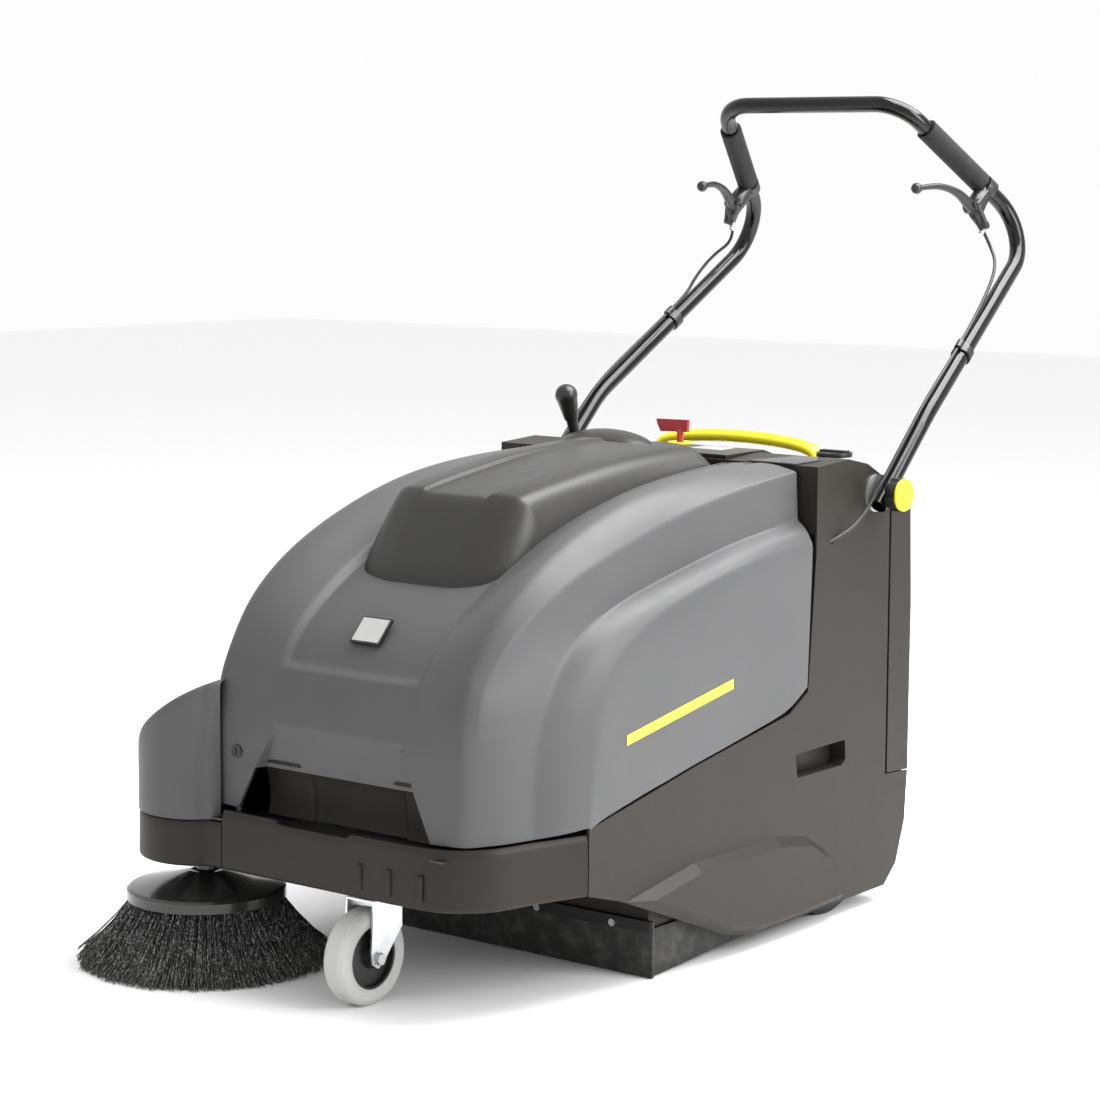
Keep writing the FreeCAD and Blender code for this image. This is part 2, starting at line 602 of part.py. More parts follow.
def roller_core():
    core = rod((-TUNNEL_END + 3, ROLLER_Y, ROLLER_Z), (TUNNEL_END - 3, ROLLER_Y, ROLLER_Z), 40)
    shaft = rod((-BELT_C, ROLLER_Y, ROLLER_Z), (BELT_C + 8, ROLLER_Y, ROLLER_Z), SHAFT_R)
    return core.fuse([shaft, pulley(ROLLER_Y, ROLLER_Z, ROLLER_PULLEY_R, SHAFT_R)]).removeSplitter()


def roller_bristles():
    """Bristle sleeve with a shallow V of eight rows along it."""
    sleeve = ring((-ROLLER_HALF, ROLLER_Y, ROLLER_Z), (ROLLER_HALF, ROLLER_Y, ROLLER_Z), ROLLER_R, 40)
    rows = 8
    for i in range(rows):
        groove = box(-ROLLER_HALF - 1, ROLLER_Y - 9, ROLLER_Z + 62, ROLLER_HALF + 1, ROLLER_Y + 9,
                     ROLLER_Z + 130)
        groove.rotate(V(0, ROLLER_Y, ROLLER_Z), V(1, 0, 0), 22.5 + 360 / rows * i)
        sleeve = sleeve.cut(groove)
    return sleeve


def roller_bearings():
    bearing = ring((TUNNEL_END - 1, ROLLER_Y, ROLLER_Z), (TUNNEL_END + WALL + 1, ROLLER_Y, ROLLER_Z), 24,
                   SHAFT_R + RUN)
    return pair(bearing)


def pulley(y, z, radius, bore):
    flange = radius + 4
    points = [(BELT_C - BELT_W / 2 - 2, bore), (BELT_C - BELT_W / 2 - 2, flange),
              (BELT_C - BELT_W / 2 - 0.5, flange),
              (BELT_C - BELT_W / 2 - 0.5, radius), (BELT_C + BELT_W / 2 + 0.5, radius),
              (BELT_C + BELT_W / 2 + 0.5, flange), (BELT_C + BELT_W / 2 + 2, flange),
              (BELT_C + BELT_W / 2 + 2, bore)]
    return revolve_x(points, y, z)


def drive_belt():
    """Flat belt round both pulleys: the hull of two circles, less the same hull a belt thinner."""
    def loop(extra):
        small = MOTOR_PULLEY_R + extra
        large = ROLLER_PULLEY_R + extra
        dy, dz = ROLLER_Y - MOTOR_Y, ROLLER_Z - MOTOR_Z
        span = math.hypot(dy, dz)
        along = math.atan2(dz, dy)
        lean = math.asin((large - small) / span)
        a1 = along + math.pi / 2 + lean
        a2 = along - math.pi / 2 - lean
        x = BELT_C - BELT_W / 2

        def at(cy, cz, r, a):
            return V(x, cy + r * math.cos(a), cz + r * math.sin(a))

        p1 = at(MOTOR_Y, MOTOR_Z, small, a1)
        p2 = at(ROLLER_Y, ROLLER_Z, large, a1)
        p3 = at(ROLLER_Y, ROLLER_Z, large, a2)
        p4 = at(MOTOR_Y, MOTOR_Z, small, a2)
        far = at(ROLLER_Y, ROLLER_Z, large, along)
        near = at(MOTOR_Y, MOTOR_Z, small, along + math.pi)
        edges = [Part.LineSegment(p1, p2), Part.Arc(p2, far, p3), Part.LineSegment(p3, p4),
                 Part.Arc(p4, near, p1)]
        wire = Part.Wire([e.toShape() for e in edges])
        return Part.Face(wire).extrude(V(BELT_W, 0, 0))
    return loop(3.5).cut(loop(0.4))


def drive_motor():
    can = rod((70, MOTOR_Y, MOTOR_Z), (BELT_C - 30, MOTOR_Y, MOTOR_Z), MOTOR_R)
    bell = rod((BELT_C - 30, MOTOR_Y, MOTOR_Z), (BELT_C - 22, MOTOR_Y, MOTOR_Z), 30)
    foot = box(90, MOTOR_Y - 45, PAN_Z + PAN_T, 220, MOTOR_Y + 45, MOTOR_Z - 20)
    motor = can.fuse([bell, foot])
    return motor.cut(rod((BELT_C - 60, MOTOR_Y, MOTOR_Z), (BELT_C, MOTOR_Y, MOTOR_Z),
                         8 + RUN)).removeSplitter()


def motor_pulley():
    shaft = rod((BELT_C - 55, MOTOR_Y, MOTOR_Z), (BELT_C + 9, MOTOR_Y, MOTOR_Z), 8)
    return pulley(MOTOR_Y, MOTOR_Z, MOTOR_PULLEY_R, 6).fuse(shaft).removeSplitter()


def battery():
    length, width, height = BATTERY
    y0 = TUNNEL_FRONT + 12
    case = box(-length / 2, y0, TRAY_Z + WALL, length / 2, y0 + width, TRAY_Z + WALL + height)
    lid = box(-length / 2 - 3, y0 - 3, TRAY_Z + WALL + height - 30, length / 2 + 3, y0 + width + 3,
              TRAY_Z + WALL + height - 22)
    posts = [rod((x, y0 + 30, TRAY_Z + WALL + height - 1), (x, y0 + 30, TRAY_Z + WALL + height + 16), 8)
             for x in (-length / 2 + 35, length / 2 - 35)]
    return case.fuse([lid] + posts).removeSplitter()


def flat_filter():
    pack = box(-200, 116, FILTER_Z - 4, 200, 276, FILTER_Z + 46)
    for i in range(25):
        x = -186 + i * 15
        pack = pack.cut(box(x, 124, FILTER_Z + 20, x + 7, 268, FILTER_Z + 50))
    return pack


def fan_housing():
    drum = rod((FAN_C, FAN_Y, FAN_Z), (FAN_C, FAN_Y, FAN_Z + 58), FAN_R)
    drum = drum.cut(rod((FAN_C, FAN_Y, FAN_Z + 4), (FAN_C, FAN_Y, FAN_Z + 54), FAN_R - 4))
    drum = drum.cut(rod((FAN_C, FAN_Y, FAN_Z - 1), (FAN_C, FAN_Y, FAN_Z + 5), 34))
    drum = drum.cut(rod((FAN_C, FAN_Y, FAN_Z + 50), (FAN_C, FAN_Y, FAN_Z + 60), 6 + RUN))
    shelf = box(-WHEEL_C - 20, FAN_Y - 60, FAN_Z - 4, WHEEL_C + 20, FAN_Y + 60, FAN_Z)
    shelf = shelf.cut(rod((FAN_C, FAN_Y, FAN_Z - 10), (FAN_C, FAN_Y, FAN_Z + 5), 34))
    return drum.fuse(shelf).removeSplitter()


def fan_impeller():
    plate = rod((FAN_C, FAN_Y, FAN_Z + 10), (FAN_C, FAN_Y, FAN_Z + 13), FAN_R - 14)
    hub = rod((FAN_C, FAN_Y, FAN_Z + 10), (FAN_C, FAN_Y, FAN_Z + 57), 6)
    vanes = []
    for i in range(12):
        vane = box(FAN_C + 24, FAN_Y - 1.5, FAN_Z + 13, FAN_C + FAN_R - 16, FAN_Y + 1.5, FAN_Z + 42)
        vane.rotate(V(FAN_C, FAN_Y, 0), V(0, 0, 1), 30 * i)
        vanes.append(vane)
    return plate.fuse([hub] + vanes).removeSplitter()


# ---- side brush ---------------------------------------------------------------------------
def brush_disc():
    top = DISC_Z + 16
    points = [(8, DISC_Z + 30), (22, DISC_Z + 36), (60, DISC_Z + 26), (DISC_R - 4, top), (DISC_R, top - 3),
              (DISC_R, DISC_Z), (DISC_R - 4, DISC_Z), (DISC_R - 4, top - 6), (60, DISC_Z + 21),
              (8, DISC_Z + 24)]
    cone = revolve_z(points, BRUSH_C, BRUSH_Y)
    plate = revolve_z([(8, DISC_Z + 2), (DISC_R - 4, DISC_Z + 2), (DISC_R - 4, DISC_Z + 8), (8, DISC_Z + 8)],
                      BRUSH_C, BRUSH_Y)
    hub = revolve_z([(0, DISC_Z + 2), (10, DISC_Z + 2), (10, DISC_Z + 38), (SPINDLE_R, DISC_Z + 38),
                     (SPINDLE_R, 176),
                     (0, 176)], BRUSH_C, BRUSH_Y)
    return cone.fuse([plate, hub]).removeSplitter()


def brush_bristles():
    return revolve_z([(62, DISC_Z + 2), (DISC_R - 9, DISC_Z + 2), (DISC_R + 26, 46), (BRUSH_R, FLOOR_GAP + 4),
                      (BRUSH_R - 2, FLOOR_GAP), (122, FLOOR_GAP)], BRUSH_C, BRUSH_Y)


def brush_motor():
    can = rod((BRUSH_C, BRUSH_Y, 166), (BRUSH_C, BRUSH_Y, 196), 40)
    yoke = box(BRUSH_C - GUIDE_OFF - 12, BRUSH_Y - 16, 174, BRUSH_C + GUIDE_OFF + 12, BRUSH_Y + 16, 188)
    motor = can.fuse(yoke)
    motor = motor.cut(rod((BRUSH_C, BRUSH_Y, 100), (BRUSH_C, BRUSH_Y, 178), SPINDLE_R + RUN))
    for off in (-GUIDE_OFF, GUIDE_OFF):
        motor = motor.cut(rod((BRUSH_C + off, BRUSH_Y, 100), (BRUSH_C + off, BRUSH_Y, 300), GUIDE_R + RUN))
    return motor.removeSplitter()


def guide_rods():
    rods = [rod((BRUSH_C + off, BRUSH_Y, PAN_Z), (BRUSH_C + off, BRUSH_Y, HOOD_BASE - 3), GUIDE_R)
            for off in (-GUIDE_OFF, GUIDE_OFF)]
    return Part.makeCompound(rods)


# ---- caster -------------------------------------------------------------------------------
CASTER_PLATE = (96.0, 76.0)
CASTER_HOLES = (74.0, 54.0)
FORK_T = 3.0
FORK_IN = CASTER_T / 2 + 2.5
KING_R = 7.0


def caster_holes():
    return [(CASTER_C + sx * CASTER_HOLES[0] / 2, CASTER_PIVOT_Y + sy * CASTER_HOLES[1] / 2)
            for sx in (-1, 1) for sy in (-1, 1)]


def caster_plate():
    length, width = CASTER_PLATE
    plate = box(CASTER_C - length / 2, CASTER_PIVOT_Y - width / 2, PAN_Z - 3, CASTER_C + length / 2,
                CASTER_PIVOT_Y + width / 2, PAN_Z)
    plate = plate.makeFillet(9, [e for e in plate.Edges if abs(e.BoundBox.ZLength - 3) < 0.01])
    for x, y in caster_holes():
        plate = plate.cut(rod((x, y, PAN_Z - 10), (x, y, PAN_Z + 1), 4.3))
    race = revolve_z([(KING_R + RUN, PAN_Z - 13.6), (30, PAN_Z - 13.6), (33, PAN_Z - 10), (33, PAN_Z - 3),
                      (KING_R + RUN, PAN_Z - 3)], CASTER_C, CASTER_PIVOT_Y)
    king_bore = rod((CASTER_C, CASTER_PIVOT_Y, PAN_Z - 5), (CASTER_C, CASTER_PIVOT_Y, PAN_Z + 1),
                    KING_R + RUN)
    return plate.fuse(race).cut(king_bore).removeSplitter()


def caster_screws():
    screws = []
    for x, y in caster_holes():
        shank = rod((x, y, PAN_Z - 3), (x, y, PAN_Z + PAN_T), 4.0)
        head = Part.makeCylinder(6.5, 4.5, V(x, y, PAN_Z - 7.5))
        screws.append(shank.fuse(head).removeSplitter())
    return Part.makeCompound(screws)


def caster_fork():
    crown_z = PAN_Z - 17
    crown = Part.makeCylinder(31, FORK_T, V(CASTER_C, CASTER_PIVOT_Y, crown_z))
    bridge = box(CASTER_C - FORK_IN - FORK_T, CASTER_PIVOT_Y - 34, crown_z, CASTER_C + FORK_IN + FORK_T,
                 CASTER_PIVOT_Y + 20, crown_z + FORK_T)
    king = Part.makeCylinder(KING_R, 15, V(CASTER_C, CASTER_PIVOT_Y, crown_z))
    leg = [(CASTER_PIVOT_Y + 20, crown_z + FORK_T), (CASTER_PIVOT_Y - 34, crown_z + FORK_T),
           (CASTER_WHEEL_Y - 13, CASTER_R + 8), (CASTER_WHEEL_Y - 11, CASTER_R - 6),
           (CASTER_WHEEL_Y, CASTER_R - 13),
           (CASTER_WHEEL_Y + 11, CASTER_R - 6), (CASTER_PIVOT_Y + 20, CASTER_R + 34)]
    legs = []
    for side in (-1, 1):
        x0, x1 = sorted((CASTER_C + side * FORK_IN, CASTER_C + side * (FORK_IN + FORK_T)))
        legs.append(plate_yz(leg, x0, x1))
    fork = crown.fuse([bridge, king] + legs)
    bore = rod((CASTER_C - 60, CASTER_WHEEL_Y, CASTER_R), (CASTER_C + 60, CASTER_WHEEL_Y, CASTER_R), 5.0)
    return fork.cut(bore).removeSplitter()


def caster_axle():
    reach = FORK_IN + FORK_T
    pin = rod((CASTER_C - reach, CASTER_WHEEL_Y, CASTER_R), (CASTER_C + reach, CASTER_WHEEL_Y, CASTER_R), 5.0)
    heads = []
    for side in (-1, 1):
        start = V(CASTER_C + side * reach, CASTER_WHEEL_Y, CASTER_R)
        washer = Part.makeCylinder(9.5, 1.5, start, V(side, 0, 0))
        corners = [V(0, 8 * math.cos(math.radians(60 * k)),
                     8 * math.sin(math.radians(60 * k))) for k in range(7)]
        face = Part.Face(Part.makePolygon([c + start + V(side * 1.5, 0, 0) for c in corners]))
        heads += [washer, face.extrude(V(side * 5, 0, 0))]
    return pin.fuse(heads).removeSplitter()


def caster_hub():
    half = CASTER_T / 2
    points = [(-half, 5 + RUN), (-half, 13), (-half + 8, 15), (-half + 9, CASTER_HUB_R - 4),
              (-half + 3, CASTER_HUB_R - 3), (-half + 3, CASTER_HUB_R), (half - 3, CASTER_HUB_R),
              (half - 3, CASTER_HUB_R - 3), (half - 9, CASTER_HUB_R - 4), (half - 8, 15), (half, 13),
              (half, 5 + RUN)]
    hub = revolve_x(points, CASTER_WHEEL_Y, CASTER_R)
    hub.translate(V(CASTER_C, 0, 0))
    return hub


def caster_tyre():
    half = CASTER_T / 2
    points = [(-half + 2, CASTER_HUB_R), (-half, CASTER_HUB_R + 5), (-half, CASTER_R - 8),
              (-half + 3, CASTER_R - 3),
              (-half + 8, CASTER_R), (half - 8, CASTER_R), (half - 3, CASTER_R - 3), (half, CASTER_R - 8),
              (half, CASTER_HUB_R + 5), (half - 2, CASTER_HUB_R)]
    tyre = revolve_x(points, CASTER_WHEEL_Y, CASTER_R)
    tyre.translate(V(CASTER_C, 0, 0))
    return tyre


# ---- rear wheels, container and flaps -----------------------------------------------------
def rear_wheel():
    half = WHEEL_T / 2
    points = [(-half, AXLE_R + RUN), (-half, 26), (-half + 10, 30), (-half + 10, WHEEL_R - 30),
              (-half, WHEEL_R - 24),
              (-half, WHEEL_R - 7), (-half + 7, WHEEL_R), (half - 7, WHEEL_R), (half, WHEEL_R - 7),
              (half, WHEEL_R - 24), (half - 10, WHEEL_R - 30), (half - 10, 30), (half, 26),
              (half, AXLE_R + RUN)]
    wheel = revolve_x(points, WHEEL_Y, WHEEL_R)
    wheel.translate(V(WHEEL_C, 0, 0))
    return wheel


def rear_axles():
    reach = WHEEL_C + WHEEL_T / 2 + 6 + WALL
    stub = rod((WHEEL_C - WHEEL_T / 2 - 2, WHEEL_Y, WHEEL_R), (reach, WHEEL_Y, WHEEL_R), AXLE_R)
    return pair(stub)


def dirt_container():
    y0 = 14.0
    y1 = DECK_REAR + 8
    tub = box(-CONTAINER_HALF, y0, 46, CONTAINER_HALF, y1 + 4, 400)
    tub = tub.cut(box(-CONTAINER_HALF - 1, y0 - 1, 130, CONTAINER_HALF + 1, 104, 420))
    upper = [(DECK_REAR + 5, 191.2), (361, 187.5), (362, 440), (356, 575), (340, 612), (DECK_REAR + 5, 628)]
    wall = plate_yz(upper, -BODY_HALF, BODY_HALF)
    wall = wall.cut(plate_yz([(DECK_REAR, 196), (356, 196), (358, 440), (352, 572), (337, 607),
                              (DECK_REAR, 622)],
                             -BODY_HALF + WALL, BODY_HALF - WALL))
    lower = plate_yz([(y1 + 2, 47.5), (y1 + 2, 204), (357, 204), (356, 186), (350, 112), (332, 47.5)],
                     -PANEL_IN + 3, PANEL_IN - 3)
    lower = lower.cut(plate_yz([(y1 - 5, 60), (y1 - 5, 210), (352, 210), (352, 186), (346, 114), (330, 60)],
                               -PANEL_IN + 3 + WALL, PANEL_IN - 3 - WALL))
    whole = tub.fuse([wall, lower])
    whole = whole.cut(box(-CONTAINER_HALF + 3, y0 + 3, 49, CONTAINER_HALF - 3, y1 + 1, 420)).removeSplitter()
    return max(whole.Solids, key=lambda s: s.Volume)


HANDLE_Y = 325.0


def container_handle():
    """Arched carrying handle on top of the container."""
    low = 612.0
    outer = Part.Wire([Part.LineSegment(V(-143, 0, 640), V(-143, 0, low)).toShape(),
                       Part.LineSegment(V(-143, 0, low), V(143, 0, low)).toShape(),
                       Part.LineSegment(V(143, 0, low), V(143, 0, 640)).toShape(),
                       Part.Arc(V(143, 0, 640), V(0, 0, 676), V(-143, 0, 640)).toShape()])
    inner = Part.Wire([Part.LineSegment(V(-100, 0, 640), V(-100, 0, low - 5)).toShape(),
                       Part.LineSegment(V(-100, 0, low - 5), V(100, 0, low - 5)).toShape(),
                       Part.LineSegment(V(100, 0, low - 5), V(100, 0, 640)).toShape(),
                       Part.Arc(V(100, 0, 640), V(0, 0, 657), V(-100, 0, 640)).toShape()])
    arch = Part.Face(outer).extrude(V(0, 28, 0)).cut(Part.Face(inner).extrude(V(0, 28, 0)))
    arch.translate(V(0, HANDLE_Y - 14, 0))
    return arch.cut(plate_yz([(DECK_REAR, 400), (356, 575), (340, 612), (DECK_REAR + 5, 628),
                              (DECK_REAR - 10, 632)],
                             -200, 200))


FLAP_T = 4.0
FLAP_TOP = 78.0


def front_flap():
    return box(-262, TUNNEL_FRONT - FLAP_T, FLOOR_GAP, 266, TUNNEL_FRONT, FLAP_TOP)


def chamber_flaps():
    right = plate_yz([(TUNNEL_FRONT + 2, FLOOR_GAP), (TUNNEL_FRONT + 2, 66), (4, 66), (10, FLOOR_GAP + 14)],
                     TUNNEL_END + WALL, TUNNEL_END + WALL + FLAP_T)
    rear = box(-TUNNEL_END, 3, 30, TUNNEL_END, 7, 70)
    return Part.makeCompound([right, mirrored(right), rear])


def flap_strip():
    y1 = TUNNEL_FRONT - FLAP_T
    return box(-262, y1 - 3, 62, 264, y1, FLAP_TOP)


def flap_screws():
    y1 = TUNNEL_FRONT - FLAP_T - 3
    heads = []
    for x in (-190, -58, 74, 202):
        heads.append(Part.makeCylinder(5, 3, V(x, y1, 68), V(0, -1, 0)))
    return Part.makeCompound(heads)


HINGE_AT = (140.0, 186.0)   # the two lugs of the right hinge


def hinge_pins():
    """A pin between two lugs that stand forward from the deck, on each side."""
    pin = rod((HINGE_AT[0], HINGE_Y, HINGE_Z), (HINGE_AT[1], HINGE_Y, HINGE_Z), 3.5)
    lugs = [box(x - 2, HINGE_Y - 5, HINGE_Z - 5, x + 2, HOOD_REAR + HOOD_GAP, HINGE_Z + 4) for x in HINGE_AT]
    return pair(pin.fuse(lugs).removeSplitter())


# ---- push handle --------------------------------------------------------------------------
LEG_FOOT = (LEG_C, PIVOT_Y - 17.6, PIVOT_Z - 17.0)
LEG_BEND = (LEG_C, 367.0, 712.0)
REAR_BEND = (254.0, 755.0, 968.0)
BAR_END = (163.0, 505.0, 1165.0)
LEG_BEND_R, REAR_BEND_R, BAR_BEND_R = 220.0, 68.0, 62.0


def flip(point):
    return (-point[0], point[1], point[2])


def handle_path():
    half = [LEG_FOOT, LEG_BEND, REAR_BEND, BAR_END]
    other = [flip(p) for p in reversed(half)]
    radii = [LEG_BEND_R, REAR_BEND_R, BAR_BEND_R, BAR_BEND_R, REAR_BEND_R, LEG_BEND_R]
    return bend_path(half + other, radii)


def handle_tube():
    path = handle_path()
    tube = tube_on(path, TUBE_R).cut(tube_on(path, TUBE_R - TUBE_WALL))
    hole = rod((-LEG_C - 40, PIVOT_Y, PIVOT_Z), (LEG_C + 40, PIVOT_Y, PIVOT_Z), STUD_R + LOOSE)
    return tube.cut(hole)


def along(start, end, distance):
    """Point at a distance from start towards end."""
    start, end = V(*start), V(*end)
    return start + (end - start).normalize() * distance


GRIP_LEN = 135.0
GRIP_START = 134.0         # from the rear bend's corner to the grip
CLAMP_AT = 120.0
LEVER_PIVOT = V(222, 622, 1012)
LEVER_TIP = V(197, 500, 1039)
FERRULE = V(232, 633, 981)
CABLE_START = V(6, 18, -28)   # first run of the cable below the ferrule
CLIP_AT = {"right": 152.0, "left": 205.0}


def grip():
    start = along(REAR_BEND, BAR_END, GRIP_START)
    end = along(REAR_BEND, BAR_END, GRIP_START + GRIP_LEN)
    sleeve = ring(start, end, GRIP_R, TUBE_R)
    return sleeve


def lever_axis():
    run = V(*BAR_END) - V(*REAR_BEND)
    reach = LEVER_TIP - LEVER_PIVOT
    return run.cross(reach).normalize()


def lever_bracket():
    centre = along(REAR_BEND, BAR_END, CLAMP_AT)
    run = (V(*BAR_END) - V(*REAR_BEND)).normalize()
    axis = lever_axis()
    clamp = ring(centre - run * 9, centre + run * 9, TUBE_R + 5, TUBE_R)
    toward = (LEVER_PIVOT - centre).normalize()
    arm_start = centre + toward * (TUBE_R + 2)
    arms = []
    for side in (-1, 1):
        offset = axis * (side * 9.5)
        arms.append(rod(arm_start + offset, LEVER_PIVOT + offset, 4.5))
        arms.append(rod(LEVER_PIVOT + axis * side * 5.0, LEVER_PIVOT + axis * side * 12.0, 9))
    stem = rod(LEVER_PIVOT + axis * 9.5, FERRULE + axis * 9.5, 4.5)
    boss = rod(FERRULE - axis * 2, FERRULE + axis * 12, 6)
    pin = rod(LEVER_PIVOT - axis * 12, LEVER_PIVOT + axis * 12, 3)
    body = clamp.fuse(arms + [stem, boss, pin])
    body = body.cut(rod(centre - run * 30, centre + run * 30, TUBE_R))
    body = body.cut(rod(FERRULE - CABLE_START * 0.5, FERRULE + CABLE_START * 2, CABLE_R))
    return max(body.removeSplitter().Solids, key=lambda s: s.Volume)


def brake_lever():
    axis = lever_axis()
    reach = (LEVER_TIP - LEVER_PIVOT).normalize()
    side = axis.cross(reach)
    hub = rod(LEVER_PIVOT - axis * 4, LEVER_PIVOT + axis * 4, 9)
    knee = LEVER_PIVOT + reach * 52 + side * 16
    blade = bend_path([tuple(LEVER_PIVOT), tuple(knee), tuple(LEVER_TIP)], [60])
    blade = tube_on(blade, 4.0)
    ball = Part.makeSphere(8.5, LEVER_TIP)
    lever = hub.fuse([blade, ball])
    return lever.cut(rod(LEVER_PIVOT - axis * 12, LEVER_PIVOT + axis * 12, 3 + RUN)).removeSplitter()


def cable_clip(distance):
    centre = along(LEG_BEND, REAR_BEND, distance)
    run = (V(*REAR_BEND) - V(*LEG_BEND)).normalize()
    band = ring(centre - run * 8, centre + run * 8, TUBE_R + 3, TUBE_R)
    front = V(0, -run.z, run.y).normalize()
    seat = centre + front * (TUBE_R + CABLE_R + 1.5)
    saddle = rod(seat - run * 8, seat + run * 8, CABLE_R + 3)
    saddle = saddle.cut(rod(centre - run * 9, centre + run * 9, TUBE_R))
    return band.fuse(saddle).cut(rod(seat - run * 9, seat + run * 9, CABLE_R)).removeSplitter()


def cable_seat(distance):
    run = (V(*REAR_BEND) - V(*LEG_BEND)).normalize()
    front = V(0, -run.z, run.y).normalize()
    return along(LEG_BEND, REAR_BEND, distance) + front * (TUBE_R + CABLE_R + 1.5)


def foot_seat(distance):
    """Cable place beside the leg below its bend, measured from the pivot."""
    run = (V(*LEG_BEND) - V(*LEG_FOOT)).normalize()
    front = V(0, -run.z, run.y).normalize()
    return V(LEG_C, PIVOT_Y, PIVOT_Z) + run * distance + front * (TUBE_R + CABLE_R + 3)


CABLE_HOLE = V(BODY_HALF, 138, 545)


def cable_route(clip_at):
    """Bowden cable from the lever's ferrule, through the clip, down the leg and into the side panel."""
    seat = cable_seat(clip_at)
    run = (V(*REAR_BEND) - V(*LEG_BEND)).normalize()
    points = [FERRULE, FERRULE + CABLE_START, cable_seat(335) + V(-2, -12, 16), cable_seat(285) + V(2, -6, 8),
              seat + run * 50, seat - run * 46, cable_seat(18) + V(0, -1, 2), foot_seat(90), foot_seat(28),
              V(LEG_C - 3, 212, 583),
              V(LEG_C - 7, 172, 558), CABLE_HOLE + V(-6, -4, -2)]
    return [tuple(p) for p in points]


def cable(points):
    return tube_on(bend_path(points, cable_radii(points)), CABLE_R)


def clamp_stud_knob():
    stud = rod((BODY_HALF - 20, PIVOT_Y, PIVOT_Z), (LEG_C + 14, PIVOT_Y, PIVOT_Z), STUD_R)
    star = rod((LEG_C + 13.5, PIVOT_Y, PIVOT_Z), (KNOB_FACE - 5, PIVOT_Y, PIVOT_Z), KNOB_R)
    for i in range(6):
        angle = math.radians(60 * i)
        y = PIVOT_Y + (KNOB_R + 5) * math.cos(angle)
        z = PIVOT_Z + (KNOB_R + 5) * math.sin(angle)
        star = star.cut(rod((LEG_C, y, z), (KNOB_FACE, y, z), 8))
    return stud.fuse(star).removeSplitter()


def knob_cap():
    cap = rod((KNOB_FACE - 5, PIVOT_Y, PIVOT_Z), (KNOB_FACE, PIVOT_Y, PIVOT_Z), KNOB_R - 1)
    return cap.makeFillet(2,
                          [e for e in cap.Edges if e.BoundBox.XMin > KNOB_FACE - 1 and e.BoundBox.ZLength > 10])


def pivot_disc():
    return ring((BODY_HALF, PIVOT_Y, PIVOT_Z), (LEG_C - TUBE_R - 0.5, PIVOT_Y, PIVOT_Z), 27, STUD_R + LOOSE)


# ---- write every node ---------------------------------------------------------------------
def main():
    hood_form = hood_outer()
    chassis = chassis_frame()
    nodes = {
        "chassis_frame": chassis,
        "front_bumper": front_bumper(),
        "brush_housing_base": housing_base().cut(chassis),
        "brush_housing_cap": housing_cap(hood_form),
        "side_panel_right": side_panel(),
        "side_panel_left": mirrored(side_panel()),
        "rear_deck": rear_deck(),
        "control_panel": control_panel(),
        "display_plate": box(26, 160, 660.5, 78, 201, 662.5),
        "key_switch_ring": key_ring(),
        "switch_key": switch_key(),
        "lift_lever": lift_lever(),
        "filter_shaker_knob": shaker_knob(),
        "hood_shell": hood_shell(),
        "hood_dome": dome(hood_form),
        "badge_plate": badge_plate(hood_form),
        "hood_lock": hood_lock(),
        "hood_hinge_pins": hinge_pins(),
        "battery": battery(),
        "drive_motor": drive_motor(),
        "motor_pulley": motor_pulley(),
        "drive_belt": drive_belt(),
        "roller_core": roller_core(),
        "roller_bristles": roller_bristles(),
        "roller_bearings": roller_bearings(),
        "flat_filter": flat_filter(),
        "fan_housing": fan_housing(),
        "fan_impeller": fan_impeller(),
        "front_flap": front_flap(),
        "chamber_flaps": chamber_flaps(),
        "flap_strip": flap_strip(),
        "flap_screws": flap_screws(),
        "side_brush_disc": brush_disc(),
        "side_brush_bristles": brush_bristles(),
        "side_brush_motor": brush_motor(),
        "brush_guide_rods": guide_rods(),
        "caster_plate": caster_plate(),
        "caster_screws": caster_screws(),
        "caster_fork": caster_fork(),
        "caster_axle": caster_axle(),
        "caster_hub": caster_hub(),
        "caster_tyre": caster_tyre(),
        "rear_axles": rear_axles(),
        "rear_wheel_right": rear_wheel(),
        "rear_wheel_left": mirrored(rear_wheel()),
        "dirt_container": dirt_container(),
        "container_handle": container_handle(),
        "pivot_discs": pair(pivot_disc()),
        "handle_tube": handle_tube(),
        "grips": pair(grip()),
        "lever_brackets": pair(lever_bracket()),
        "brake_lever_right": brake_lever(),
        "brake_lever_left": mirrored(brake_lever()),
        "cable_clips": Part.makeCompound([cable_clip(CLIP_AT["right"]),
                                          mirrored(cable_clip(CLIP_AT["left"]))]),
        "bowden_cables": Part.makeCompound([cable(cable_route(CLIP_AT["right"])),
                                            mirrored(cable(cable_route(CLIP_AT["left"])))]),
        "clamp_knob_right": clamp_stud_knob(),
        "clamp_knob_left": mirrored(clamp_stud_knob()),
        "knob_cap_right": knob_cap(),
        "knob_cap_left": mirrored(knob_cap()),
    }
    for name, shape in nodes.items():
        write(name, shape)


main()
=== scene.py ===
import math

import bpy
from mathutils import Matrix, Vector


